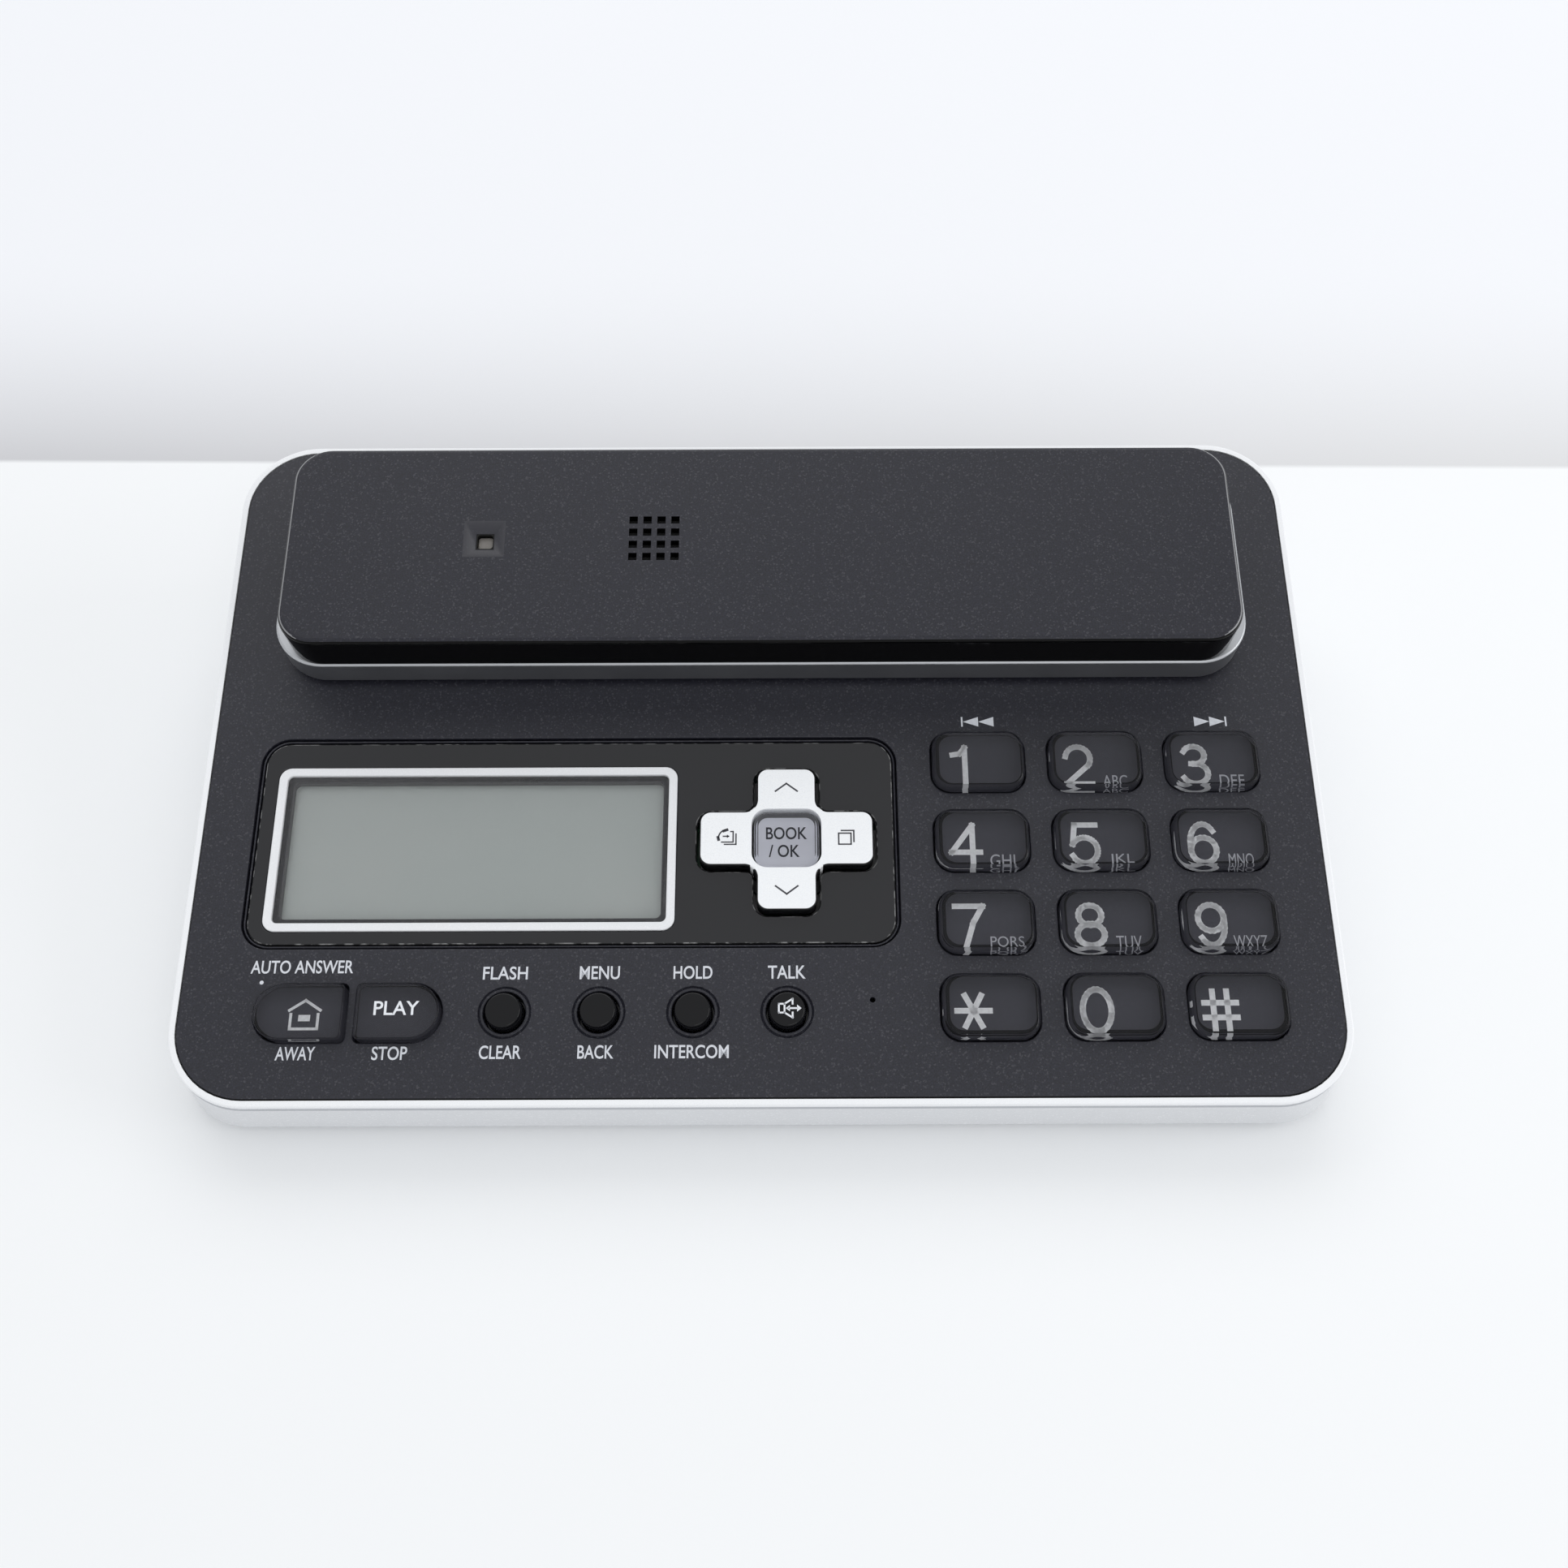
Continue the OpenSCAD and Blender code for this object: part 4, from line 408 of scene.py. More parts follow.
pen.close(bars[0], pen.given["Ink"])


def strokes(width, *paths):
    """Drawn lines of one width; each path is a list of points."""
    return pen.along(paths, Width=width, Ink=legend_dark)


def solid(*shapes):
    """Filled shapes; each is a list of points."""
    mesh, points, faces = bpy.data.meshes.new("shape"), [], []
    for shape in shapes:
        faces.append(range(len(points), len(points) + len(shape)))
        points += [(x, y, 0) for x, y in shape]
    mesh.from_pydata(points, [], faces)
    return mesh


def letters(text, height, width=None, bold=0.012):
    """A line of plain capitals or digits, centred, of a given height and, where wanted, width."""
    line = bpy.data.curves.new("line", "FONT")
    line.body, line.resolution_u, line.offset = text, 5, bold
    mesh = evaluated(line)
    xs, ys = [v.co.x for v in mesh.vertices], [v.co.y for v in mesh.vertices]
    tall = height / (max(ys) - min(ys))
    wide = width / (max(xs) - min(xs)) if width else tall
    mesh.transform(Matrix.Diagonal((wide, tall, 1, 1))
                   @ Matrix.Translation((-(max(xs) + min(xs)) / 2, -(max(ys) + min(ys)) / 2, 0)))
    return mesh


def arc(x, y, r, start, end, steps=10, tall=1.0):
    """Points along a circle's arc, or an ellipse's where tall isn't 1."""
    turns = [radians(start + (end - start) * i / steps) for i in range(steps + 1)]
    return [(x + r * cos(a), y + r * tall * sin(a)) for a in turns]


def printed(name, body, material, height, *marks):
    """One print from marks given as (mesh, x, y), laid at a height on the panel's frame."""
    page = bmesh.new()
    for mesh, x, y in marks:
        mesh.transform(Matrix.Translation((x, y, height)))
        page.from_mesh(mesh)
    for face in page.faces:
        face.material_index = 0
        if face.normal.z < 0:
            face.normal_flip()
    mesh = bpy.data.meshes.new(name)
    page.to_mesh(mesh)
    page.free()
    mesh.transform(STANCE)
    return piece(name, mesh, [material], body)


NAV_X, NAV_Y, NAV_TOP, SELECT_SPACE_W, SELECT_SPACE_D = 4.45, 45.2, 1.4, 12.6, 11.4
SKIRT_TOP, INK_LIFT = NAV_TOP - 0.03, 0.02
nav_white = grained("nav_white", (0.91, 0.925, 0.945), (0.94, 0.95, 0.96), 0.3, grain=0.2, depth=0.001)
skirt_black = polished("skirt_black", (0.008, 0.008, 0.009), 0.2)
legend_dark = ink("legend_dark", (0.045, 0.045, 0.055))


def skirt(normal, middle):
    """Whether a face is on the black skirt, below the white top and outside the select key's space."""
    space = abs(middle.x - NAV_X) < SELECT_SPACE_W / 2 and abs(middle.y - NAV_Y) < SELECT_SPACE_D / 2
    return middle.z < SKIRT_TOP and not space


cross = two_tone(moulded("nav_key", 0, SKIRT_TOP), skirt)
piece("four_way_cross", cross, [nav_white, skirt_black], "nav", "nav_key", slot="nav_white")
CHEVRON = [(-1.9, -0.72), (0, 0.72), (1.9, -0.72)]
REAR_Y, FRONT_Y, LIST_X, PAGES_X, SIGN_Y = 54.7, 35.6, -6.0, 14.85, 45.4
printed("four_way_signs", "nav", legend_dark, NAV_TOP + INK_LIFT,
        (strokes(0.3, CHEVRON), NAV_X, REAR_Y),
        (strokes(0.3, [(x, -y) for x, y in CHEVRON]), NAV_X, FRONT_Y),
        (strokes(0.26, [(-1.3, 0.6), (0.85, 0.6), (0.85, -1.45), (-1.3, -1.45), (-1.3, 0.6)],
                 [(-0.8, 1.1), (1.35, 1.1), (1.35, -0.95)]), PAGES_X, SIGN_Y),
        (strokes(0.24, arc(0.05, -0.15, 1.45, 187, 100), [(-0.56, 0.1), (0.3, 0.1)],
                 [(0.74, 0.98), (1.14, 0.98), (1.14, -0.98), (-0.86, -0.98)],
                 [(1.64, 0.52), (1.64, -1.4), (-0.36, -1.4)]), LIST_X, SIGN_Y),
        (strokes(0.5, [(-1.5, -0.1), (-1.4, -0.5)], [(-0.5, 1.1), (0.05, 1.3)]), LIST_X, SIGN_Y),
        (solid([(0.05, 0.42), (0.52, 0.1), (0.05, -0.22)]), LIST_X, SIGN_Y))
dress(jack_black, "nav_pivot_ring")


# Select key: a clear block with sloped edges on a dark grey base, in the middle of the cross.
# A pale grey underlay lies between them, with two words printed on it.
def rounded_outline(w, d, r, steps=8):
    """Points of a rectangle with round corners, about its centre."""
    points = []
    for x, y, start in ((1, 1, 0), (-1, 1, 90), (-1, -1, 180), (1, -1, 270)):
        points += arc(x * (w / 2 - r), y * (d / 2 - r), r, start, start + 90, steps)
    return points


def disc(r, steps=40):
    """Points of a circle about its centre."""
    return arc(0, 0, r, 0, 360, steps)[:-1]


def stack(name, *bodies):
    """Closed bodies in one skin; each is a list of (outline, height) from bottom to top."""
    skin = bmesh.new()
    for levels in bodies:
        rings = [[skin.verts.new((x, y, z)) for x, y in outline] for outline, z in levels]
        for low, high in zip(rings, rings[1:]):
            for i in range(len(low)):
                j = (i + 1) % len(low)
                skin.faces.new((low[i], low[j], high[j], high[i]))
        skin.faces.new(rings[0][::-1])
        skin.faces.new(rings[-1])
    mesh = bpy.data.meshes.new(name)
    skin.to_mesh(mesh)
    skin.free()
    mesh.shade_smooth()
    mesh.set_sharp_from_angle(angle=radians(25))
    return mesh


def soft_block(outline, bottom, top, edge, crease=0, steps=7):
    """Levels of a block with a rounded top edge, which meets the flat top at an angle crease.

    outline(inset) is the block's plan.
    """
    levels = [(outline(0), bottom), (outline(0), top - edge)]
    for i in range(1, steps + 1):
        a = radians((90 - crease) * i / steps)
        inset, height = edge * (1 - cos(a)), top - edge + edge * sin(a)
        levels.append((outline(inset), height))
    if crease:
        inset += (top - height) * tan(a)
        levels.append((outline(inset), top))
    return levels + [(outline(inset + 0.08), top)]


def at(mesh, x, y):
    """Puts a skin made about its own centre in its place on the panel."""
    mesh.transform(STANCE @ Matrix.Translation((x, y, 0)))
    return mesh


def clear(name, colour, **constants):
    """Polished clear plastic with a faint clouding."""
    material, paint = finish(name, colour, 0.0, Transmission_Weight=1.0, IOR=1.42, **constants)
    paint.feed(Base_Color=paint.noise(7, 3.0).mix([0.97 * c for c in colour], colour))
    return material


select_clear = clear("select_clear", (0.95, 0.95, 0.98))
select_base = polished("select_base", (0.11, 0.11, 0.12), 0.4)
select_grey, paint = finish("select_grey", (0.75, 0.76, 0.82), 0.5, Specular_IOR_Level=0.0)
paint.feed(Base_Color=paint.noise(3).mix((0.73, 0.74, 0.80), (0.77, 0.78, 0.84)))
legend_sunk = ink("legend_sunk", (0.03, 0.03, 0.04), Specular_IOR_Level=0.0)
SELECT_W, SELECT_D, SELECT_R, SELECT_TOP, SELECT_EDGE, SELECT_FOOT = 11.4, 10.1, 2.4, 1.1, 0.9, -4.733
LENS_FLOOR, BASE_TOP, SHEET_TOP, CREASE = -0.9, -0.8, -0.72, 35


def select_outline(inset):
    return rounded_outline(SELECT_W - 2 * inset, SELECT_D - 2 * inset, SELECT_R - inset)


lens = stack("select_lens", soft_block(select_outline, LENS_FLOOR, SELECT_TOP, SELECT_EDGE, CREASE))
piece("select_lens", at(lens, NAV_X, NAV_Y), [select_clear], "select", slot="select_grey")
body = stack("select_body", [(select_outline(0.03), z) for z in (SELECT_FOOT, BASE_TOP)])
piece("select_body", at(body, NAV_X, NAV_Y), [select_base], "select", "select_key", slot="select_grey")
sheet = stack("select_underlay", [(select_outline(0.75), z) for z in (BASE_TOP - 0.05, SHEET_TOP)])
piece("select_underlay", at(sheet, NAV_X, NAV_Y), [select_grey], "select", slot="select_grey")
printed("select_words", "select", legend_sunk, SHEET_TOP + INK_LIFT,
        (letters("BOOK", 2.3, 7.2), NAV_X, NAV_Y + 1.4),
        (letters("/ OK", 2.3, 5.4), NAV_X - 0.4, NAV_Y - 1.9))

# Dial keys: thick clear caps over black cores, their slopes tinted dark as painted shade. A dark grey ground,
# a painted reflection for each flat top, and the digits are printed on the core.
# A flange keeps each key in its opening, and a plunger below it works the mat.
KEY_W, KEY_D, KEY_R, KEY_TOP, KEY_EDGE, CAP_FLOOR, CAP_SINK = 16.3, 11.06, 3.2, 1.9, 0.8, -2.0, 0.1
PAD_RIGHT, PAD_FRONT, PITCH_X, PITCH_Y = 80.3, 15.13, 20.83, 14.93
CORE_FOOT, FLANGE, STEM, STEM_R = -2.35, (-3.2, -2.3), (-4.2, -3.15), 2
DIGIT_X, DIGIT_Y, DIGIT_STRETCH = -2.8, -0.35, 1.1
LETTERS_X, LETTERS_Y, LETTER_H, LETTER_W = 3.6, -3.35, 2.2, 1.45
DIALS = ["1", "2", "3", "4", "5", "6", "7", "8", "9", "star", "0", "hash"]
GROUPS = {"2": "ABC", "3": "DEF", "4": "GHI", "5": "JKL", "6": "MNO", "7": "PQRS", "8": "TUV", "9": "WXYZ"}
SIX = [arc(0.1, 0, 2.3, 40, 180, 10, 1.41) + [(-2.2, -1.15)], arc(0.05, -1.15, 2.2, 0, 360, 20, 0.955)]
SIGNS = {"1": [[(-1.6, 1.95), (-0.3, 2.15), (0.6, 3.2), (0.6, -3.25)]],
         "2": [arc(0, 1.2, 2.2, 170, -35, 14, 0.93) + [(-2.2, -3.25), (2.35, -3.25)]],
         "3": [arc(-0.05, 1.7, 1.9, 155, -90, 12, 0.816) + [(-0.6, 0.2)],
               arc(0, -1.5, 2.25, 90, -155, 14, 0.778)],
         "4": [[(1.25, -3.25), (1.25, 3.2), (-2.45, -1.35), (2.55, -1.35)]],
         "5": [[(2.1, 3.2), (-1.55, 3.2), (-2.0, -0.05)] + arc(0, -1.1, 2.3, 140, -155, 14, 0.935)],
         "6": SIX,
         "7": [[(-2.4, 3.2), (2.4, 3.2), (0.7, 0.5), (-0.6, -3.25)]],
         "8": [arc(0, 1.65, 1.95, 0, 360, 18, 0.82), arc(0, -1.5, 2.3, 0, 360, 20, 0.76)],
         "9": [[(-x, -y) for x, y in path] for path in SIX],
         "star": [[(-x, -y), (x, y)] for x, y in arc(0, 0, 2.75, 0, 120, 2)],
         "0": [arc(0, 0, 2.4, 0, 360, 24, 1.354)],
         "hash": [[(-2.7, 1.1), (2.7, 1.1)], [(-2.7, -1.2), (2.7, -1.2)], [(-1.2, 2.9), (-1.2, -2.9)],
                  [(1.2, 2.9), (1.2, -2.9)]]}
# The slopes and sides of every clear cap are tinted dark as painted shade. The flat top stays clear.
cap_clear_shaded = clear("cap_clear_shaded", (0.36, 0.36, 0.38), Specular_Tint=(0.3, 0.3, 0.3, 1))
cap_face = clear("cap_face", (0.98, 0.98, 1.0), Specular_Tint=(0.6, 0.6, 0.6, 1))
core_black = polished("core_black", (0.012, 0.012, 0.015), 0.5, Specular_IOR_Level=0.0)
# The grey ground under each flat top is a painted reflection, lighter than the black core. The digits are
# printed on it.
ground_and_reflection_grey = ink("ground_and_reflection_grey", (0.082, 0.082, 0.098), Specular_IOR_Level=0.0)
legend_grey = ink("legend_grey", (0.95, 0.96, 0.97), Specular_IOR_Level=0.0)
legend_dim = ink("legend_dim", (0.55, 0.56, 0.60), Specular_IOR_Level=0.0)


def key_outline(inset):
    return rounded_outline(KEY_W - 2 * inset, KEY_D - 2 * inset, KEY_R - inset)


def flat_top(middle, floor):
    """Chooses a level top face near a key's middle, above a floor."""
    return lambda normal, face: (normal.z > 0.999 and face.z > floor
                                 and (face.xy - Vector(middle)).length < 3)


ground = [(px + 0.52, py + 0.9) for px, py in rounded_outline(14.55, 9.2, 2.4)]
for index, dial in enumerate(DIALS):
    node = "dial_key_" + dial
    x, y = PAD_RIGHT + (index % 3 - 2) * PITCH_X, PAD_FRONT + (3 - index // 3) * PITCH_Y
    cap = stack(node + "_cap", soft_block(key_outline, CAP_FLOOR - CAP_SINK, KEY_TOP, KEY_EDGE, CREASE))
    cap = two_tone(at(cap, x, y), flat_top((x, y), 0))
    piece(node + "_cap", cap, [cap_clear_shaded, cap_face], node, slot="dial_cap")
    core = stack(node + "_core",
                 [(key_outline(0.03), CORE_FOOT), (key_outline(0.03), CAP_FLOOR), (ground, CAP_FLOOR)],
                 [(rounded_outline(18.5, 13.26, 4.3), z) for z in FLANGE],
                 [(disc(STEM_R), z) for z in STEM])
    core = two_tone(at(core, x, y), flat_top((x, y), CAP_FLOOR - CAP_SINK))
    piece(node + "_core", core, [core_black, ground_and_reflection_grey], node, node, slot="dial_cap")
    drawn = [[(px, DIGIT_STRETCH * py) for px, py in path] for path in SIGNS[dial]]
    printed(node + "_print", node, legend_grey, CAP_FLOOR + INK_LIFT,
            (strokes(1.0, *drawn), x + DIGIT_X, y + DIGIT_Y))
    if dial in GROUPS:
        word = letters(GROUPS[dial], LETTER_H, LETTER_W * len(GROUPS[dial]), 0)
        printed(node + "_letters", node, legend_dim, CAP_FLOOR + INK_LIFT,
                (word, x + LETTERS_X, y + LETTERS_Y))

# Pill-shaped pair: two clear caps over black cores that share one pill-shaped outline.
# The left one has a house printed under the clear, the right one a word on its face.
ROW_Y, PILL_D, PILL_R, PILL_TOP, PILL_EDGE, PILL_GAP = 14.55, 9.6, 1.0, 1.6, 0.3, 0.3


def pill_outline(w, d, r):
    """Half of a pill, round at the left end, from x = 0 to w."""
    return (arc(w - r, d / 2 - r, r, 0, 90, 5) + arc(d / 2, 0, d / 2, 90, 270, 20)
            + arc(w - r, -d / 2 + r, r, 270, 360, 5))


def pill_key(node, x, w, flip):
    """One key of the pair, from its round end at x."""
    def plan(inset):
        outline = pill_outline(w - 2 * PILL_GAP - 2 * inset, PILL_D - 2 * inset, max(PILL_R - inset, 0.2))
        outline = [(px + PILL_GAP + inset, py) for px, py in outline]
        return [(-px, py) for px, py in reversed(outline)] if flip else outline

    side = -1 if flip else 1
    flange = [(side * (px - 0.8), py) for px, py in pill_outline(w + 1.3, 11.8, 1.0)]
    flange = flange[::-1] if flip else flange
    stem = [(side * w / 2 + px, py) for px, py in disc(STEM_R)]
    cap = stack(node + "_cap", soft_block(plan, CAP_FLOOR - CAP_SINK, PILL_TOP, PILL_EDGE, CREASE))
    middle = (x + side * w / 2, ROW_Y)
    cap = two_tone(at(cap, x, ROW_Y), flat_top(middle, 0))
    piece(node + "_cap", cap, [cap_clear_shaded, cap_face], node, slot="pill_black")
    # The grey ground under the flat top is a painted reflection, as on the dial keys.
    ground = [(px - 0.35, py + 0.35) for px, py in plan(0.42)]
    core = stack(node + "_core",
                 [(plan(0.03), CORE_FOOT), (plan(0.03), CAP_FLOOR), (ground, CAP_FLOOR)],
                 [(flange, z) for z in FLANGE], [(stem, z) for z in STEM])
    core = two_tone(at(core, x, ROW_Y), flat_top(middle, CAP_FLOOR - CAP_SINK))
    piece(node + "_core", core, [core_black, ground_and_reflection_grey], node, node, slot="pill_black")


pill_key("answer_key", -85.4, 15.8, False)
pill_key("play_key", -53.5, 14.7, True)
legend_white = ink("legend_white", (0.84, 0.86, 0.90))
HOUSE_X, HOUSE_Y = -76.9, 14.4
ROOF = [(-2.6, 0.9), (0, 2.6), (2.6, 0.9)]
WALLS = [(-2.3, 0.2), (-2.3, -2.3), (2.3, -2.3), (2.3, 0.2)]
printed("answer_key_print", "answer_key", legend_grey, CAP_FLOOR + INK_LIFT,
        (strokes(0.48, ROOF, WALLS), HOUSE_X, HOUSE_Y),
        (solid([(-1, -1.0), (1, -1.0), (1, 0.1), (-1, 0.1)]), HOUSE_X, HOUSE_Y))
printed("play_key_print", "play_key", legend_white, PILL_TOP + INK_LIFT, (letters("PLAY", 2.4), -60.9, 15.0))

# Round keys: gloss black buttons with drafted sides and a barely domed top, each in its own ring groove.
# The fourth has a loudspeaker and a double arrow printed on it.
round_black = polished("round_black", (0.004, 0.004, 0.005), 0.05, Specular_IOR_Level=0.27)
ROUND_X, ROUND_PITCH, ROUND_TOP, ROUND_FACE, DOME = -43.1, 15.85, 1.9, 2.68, 0.055
ROUND_SIDE = [(3.27, CORE_FOOT), (3.27, 0.1), (2.96, 1.58), (2.93, 1.68), (2.87, 1.76), (2.78, 1.82),
              (ROUND_FACE, ROUND_TOP - DOME)]
for i, node in enumerate(("clear_key", "menu_key", "hold_key", "speaker_key")):
    levels = [(disc(r, 64), z) for r, z in ROUND_SIDE]
    levels += [(disc(ROUND_FACE * k, 64), ROUND_TOP - DOME * k * k) for k in (0.8, 0.6, 0.4, 0.2, 0.05)]
    cap = stack(node + "_cap", levels, [(disc(4.57, 64), z) for z in FLANGE],
                [(disc(STEM_R), z) for z in STEM])
    piece(node + "_cap", at(cap, ROUND_X + i * ROUND_PITCH, ROW_Y), [round_black], node, node,
          slot="round_black")
SPEAKER_X, SPEAKER_Y = 4.5, ROW_Y + 0.1
printed("speaker_key_print", "speaker_key", legend_white, ROUND_TOP + INK_LIFT,
        (strokes(0.3, [(-1.45, 0.75), (-0.5, 0.75), (-0.5, -0.75), (-1.45, -0.75), (-1.45, 0.75)],
                 [(-0.5, 0.75), (0.85, 1.6), (0.85, 0.75)], [(-0.5, -0.75), (0.85, -1.6), (0.85, -0.75)],
                 [(0.2, 0), (1.6, 0)]), SPEAKER_X, SPEAKER_Y),
        (solid([(-0.3, 0), (0.4, 0.55), (0.4, -0.55)], [(2.35, 0), (1.6, 0.6), (1.6, -0.6)]),
         SPEAKER_X, SPEAKER_Y))

# Printed legends: pale ink on the panel, with a word above or below each function key.
# Skip marks stand over the dial pad's rear corners, and a dot at the left over the pill-shaped pair.
legend_pale = ink("legend_pale", (0.70, 0.72, 0.77))
BACK_SKIP = [[(-2.6, 0), (0.16, 0.95), (0.16, -0.95)], [(0.16, 0), (2.93, 0.95), (2.93, -0.95)]]
WORDS = [("AUTO ANSWER", 17.4, -77.9, 22.6), ("AWAY", 6.6, -77.5, 7.7), ("STOP", 5.9, -61.8, 7.7),
         ("FLASH", 7.6, -43.3, 21.4), ("MENU", 6.8, -27.3, 21.4), ("HOLD", 6.6, -11.5, 21.4),
         ("TALK", 6.4, 4.4, 21.4), ("CLEAR", 7.0, -43.4, 7.8), ("BACK", 6.0, -27.5, 7.8),
         ("INTERCOM", 12.4, -11.5, 7.8)]
BACK_X, BACK_Y, AHEAD_X, AHEAD_Y = 38.95, 67.9, 80.98, 67.8
printed("panel_legends", "base", legend_pale, INK_LIFT,
        *[(letters(word, 2.3, width), x, y) for word, width, x, y in WORDS],
        (solid(disc(0.35, 12)), -84.5, 19.9),
        (solid(*BACK_SKIP), BACK_X, BACK_Y),
        (strokes(0.3, [(-2.78, 0.8), (-2.78, -0.8)]), BACK_X, BACK_Y),
        (solid(*[[(-px, py) for px, py in mark] for mark in BACK_SKIP]), AHEAD_X, AHEAD_Y),
        (strokes(0.3, [(2.78, 0.8), (2.78, -0.8)]), AHEAD_X, AHEAD_Y))

# Handset back: a charcoal shell with a matt top and polished black sides, which stands on the band.
# It has a square lamp recess and a grille of square holes in front of the ringer.
gloss_black = polished("gloss_black", (0.0012, 0.0012, 0.0014), 0.08, Specular_IOR_Level=0.15)
handset_charcoal = grained("handset_charcoal", **CHARCOAL, Specular_IOR_Level=0.41)
# The pale finish on the rounded edges at the ends is a painted highlight.
painted_edge_highlight = polished("painted_edge_highlight", (0.24, 0.24, 0.25), 0.25)
# The recess walls are a satin grey painted lighter than the shell, as light on them.
recess_satin_and_light = grained("recess_satin_and_light", (0.021, 0.021, 0.029), (0.03, 0.03, 0.04), 0.4, depth=0.002)
LAMP_X, LAMP_Y, RECESS = -49.35, 97.1, 9


def shell_finish(normal, middle):
    """Matt on the top, a painted highlight along the ends' edges, polished down the sides, satin and painted
    lighter in the recess.
    """
    if max(abs(middle.x - LAMP_X), abs(middle.y - LAMP_Y)) < RECESS / 2:
        return 3 if normal.z < 0.9999 else 0
    # A pale strip on the ends' rounded edges: painted highlight.
    if abs(normal.x) > 0.25 and 0.75 < normal.z < 0.9:
        return 1
    return 0 if normal.z > 0.75 else 2


shell = two_tone(moulded("handset_back", 0), shell_finish)
piece("handset_shell", shell, [handset_charcoal, painted_edge_highlight, gloss_black, recess_satin_and_light], "handset",
      "handset_back", slot="handset_charcoal")


# Handset lamp: a small clouded lens with round corners, which leads light up from the board.
# It stands deep in a black collar at the bottom of the recess, and is held by the shell.
def collar(name, *levels):
    """A closed ring through (outline, height) levels in turn."""
    skin = bmesh.new()
    rings = [[skin.verts.new((x, y, z)) for x, y in outline] for outline, z in levels]
    for low, high in zip(rings, rings[1:] + rings[:1]):
        for i in range(len(low)):
            j = (i + 1) % len(low)
            skin.faces.new((low[i], low[j], high[j], high[i]))
    mesh = bpy.data.meshes.new(name)
    skin.to_mesh(mesh)
    skin.free()
    return mesh


def lens_outline(inset):
    return rounded_outline(LENS_W - 2 * inset, LENS_W - 2 * inset, LENS_R - inset)


collar_black = polished("collar_black", (0.003, 0.003, 0.003), 0.4, Specular_IOR_Level=0.2)
COLLAR_FOOT, COLLAR_TOP, LENS_FOOT, LENS_TOP, LENS_W, LENS_R = 12.85, 14.38, 4, 13.5, 2.78, 0.59
square, window = rounded_outline(3.16, 3.16, 0.05), rounded_outline(2.8, 2.8, 0.6)
frame_ring = collar("lamp_collar", (square, COLLAR_FOOT), (square, COLLAR_TOP), (window, COLLAR_TOP),
                    (window, COLLAR_FOOT))
piece("lamp_collar", at(frame_ring, LAMP_X, LAMP_Y), [collar_black], "handset", slot="lamp_lens")
lamp_lens = grained("lamp_lens", (0.20, 0.185, 0.17), (0.24, 0.22, 0.20), 0.35, grain=0.5, depth=0.002)
lens = stack("lamp_lens", soft_block(lens_outline, LENS_FOOT, LENS_TOP, 0.2))
piece("lamp_lens", at(lens, LAMP_X, LAMP_Y), [lamp_lens], "handset", "handset_lamp", slot="lamp_lens")

# Handset band: a frame with a satin bright silver coat, clamped between the handset's two shells.
# Its narrow upper ledge shows all round the back shell.
band_silver = polished("band_silver", (0.50, 0.51, 0.53), 0.34, smear=0.06, Metallic=1.0)
piece("band", moulded("handset_band", 0), [band_silver], "handset", "handset_band", slot="band_silver")

# Handset face: a charcoal tray with the ear slots, four satin grey keys and the clipped battery cover.
# Four screws hold it to the back shell, with the band between them.
key_grey = grained("key_grey", (0.10, 0.10, 0.11), (0.16, 0.16, 0.17), 0.4)
piece("handset_face", moulded("handset_front", 0.15), [charcoal], "handset", "handset_front",
      slot="handset_face")
piece("battery_lid", moulded("handset_battery_cover", 0.1), [charcoal], "handset", "handset_battery_cover",
      slot="handset_face")
for node in ("handset_talk_key", "handset_off_key", "handset_volume_key", "handset_hold_key"):
    piece(node + "_cap", moulded(node, 0), [key_grey], node, node, slot="handset_keys")

# Inner pieces: green boards, pale silicone mats under the keys, and sound capsules of pressed metal.
# The battery's two cells are shrink-wrapped, and the ringer is black behind its grille.
board_green = grained("board_green", (0.015, 0.11, 0.05), (0.05, 0.22, 0.10), 0.3, grain=0.6, depth=0.002)
silicone = grained("silicone", (0.55, 0.55, 0.55), (0.6, 0.6, 0.6), 0.6, grain=0.5)
battery_wrap = grained("battery_wrap", (0.05, 0.20, 0.09), (0.08, 0.26, 0.13), 0.25, grain=1.5, depth=0.002)
capsule_metal = brushed("capsule_metal", (0.40, 0.40, 0.41), 0.4)
dress(board_green, "main_board", "jack_board", "handset_board")
dress(silicone, "key_mat", "handset_key_mat")
dress(battery_wrap, "handset_battery")
dress(capsule_metal, "loudspeaker", "handset_receiver")
dress(rubber_black, "handset_ringer")

# Table: a plain white surface under the phone.
# A soft grey step is painted on it behind the phone as the shade where a wall would meet it: darker at the
# left than at the right, and fading towards the rear.
WALL_Y, WALL_SKEW, TABLE_REACH = 0.0916, 0.0109, 4
table_white, paint = finish("table_white", (0.92, 0.93, 0.94), 0.7)
across = paint.node("SeparateXYZ", {}, {"Vector": paint.place()})
along = paint.node("SeparateXYZ", {}, {"Vector": paint.place()}, out=1)
# Painted shade behind the phone: darkest at the line, darker at the left, and fading to a pale grey towards
# the rear.
behind = along + across * WALL_SKEW - WALL_Y
near = across.between(-0.16, 0.16).mix((0.60, 0.60, 0.62), (0.72, 0.72, 0.73))
step = behind.between(0, 0.07)
painted_wall_shade = (step * (2 - step)).mix(near, (0.88, 0.89, 0.92))
paint.feed(Base_Color=behind.between(-0.0006, 0.0006).mix((0.92, 0.93, 0.94), painted_wall_shade))
table = bpy.data.objects.new("table", bpy.data.meshes.new("table"))
corners = [(TABLE_REACH * x, TABLE_REACH * y, 0) for x, y in ((-1, -1), (1, -1), (1, 1), (-1, 1))]
table.data.from_pydata(corners, [], [(0, 1, 2, 3)])
table.data.materials.append(table_white)
bpy.context.scene.collection.objects.link(table)

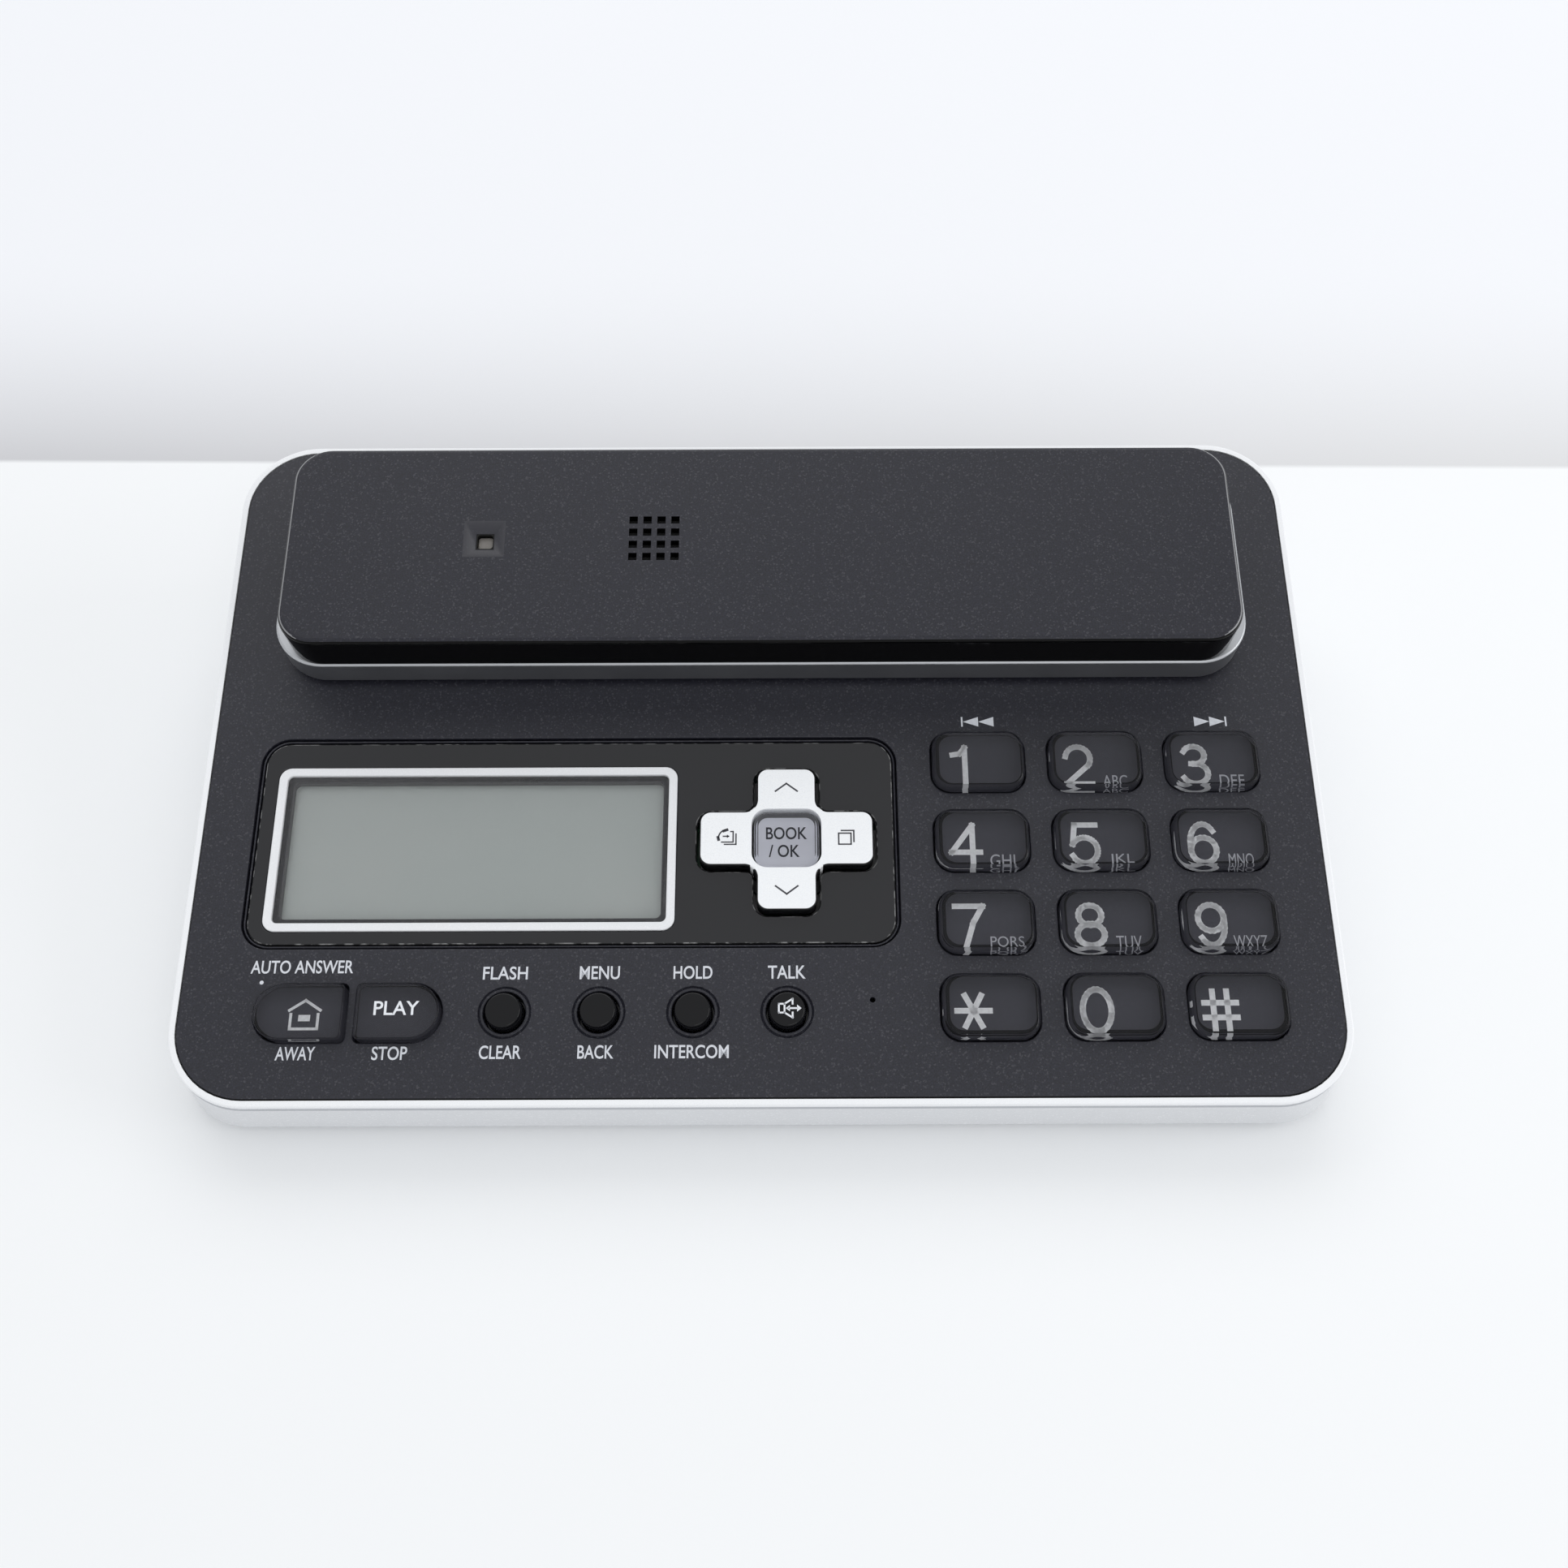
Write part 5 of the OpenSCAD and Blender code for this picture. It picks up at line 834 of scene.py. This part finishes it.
# Studio light: a pale dome, a wide soft box high behind the phone and a small one above the viewer.
# A lamp low at the right stands for a window.
world = bpy.data.worlds.new("studio")
world.use_nodes = True
background = world.node_tree.nodes["Background"].inputs
background["Color"].default_value = (0.97, 0.985, 1.0, 1)
background["Strength"].default_value = 0.78
bpy.context.scene.world = world
for name, place, wide, deep, watts in (("rear_box", (-0.1, 0.95, 0.95), 1.6, 0.9, 4.8),
                                       ("front_box", (0.3, -0.75, 0.95), 0.5, 0.35, 0.9),
                                       ("window", (1.1, -0.1, 0.5), 0.7, 0.5, 2.5)):
    lamp = bpy.data.lights.new(name, "AREA")
    lamp.shape, lamp.size, lamp.size_y, lamp.energy = "RECTANGLE", wide, deep, watts
    made = bpy.data.objects.new(name, lamp)
    made.location = place
    made.rotation_euler = (-made.location).to_track_quat("-Z", "Y").to_euler()
    bpy.context.scene.collection.objects.link(made)

# Camera: above the front edge, looking down over the panel.
# Its place and its turn are given on the panel, and its focal length in pixels of the photo's width.
PITCH, YAW, ROLL = radians(67.60), radians(-0.096), radians(0.308)
EYE_X, EYE_Y, EYE_Z, SENSOR, FOCAL, PHOTO_W = 4.228, -54.013, 266.685, 36, 2000, 1932
ahead = Vector((sin(YAW) * cos(PITCH), cos(YAW) * cos(PITCH), -sin(PITCH)))
right = Vector((cos(YAW), -sin(YAW), 0))
down = ahead.cross(right)
level = cos(ROLL) * right + sin(ROLL) * down
below = cos(ROLL) * down - sin(ROLL) * right
turn = Matrix((level, -below, -ahead)).transposed().to_4x4()
eye = bpy.data.objects.new("eye", bpy.data.cameras.new("eye"))
eye.data.lens, eye.data.sensor_width, eye.data.clip_start = SENSOR * FOCAL / PHOTO_W, SENSOR, 0.01
eye.matrix_world = (Matrix.Translation(STANCE @ Vector((EYE_X, EYE_Y, EYE_Z)))
                    @ Matrix.Rotation(radians(SLOPE), 4, "X") @ turn)
bpy.context.scene.collection.objects.link(eye)
bpy.context.scene.camera = eye
bpy.context.scene.view_settings.view_transform = "Standard"
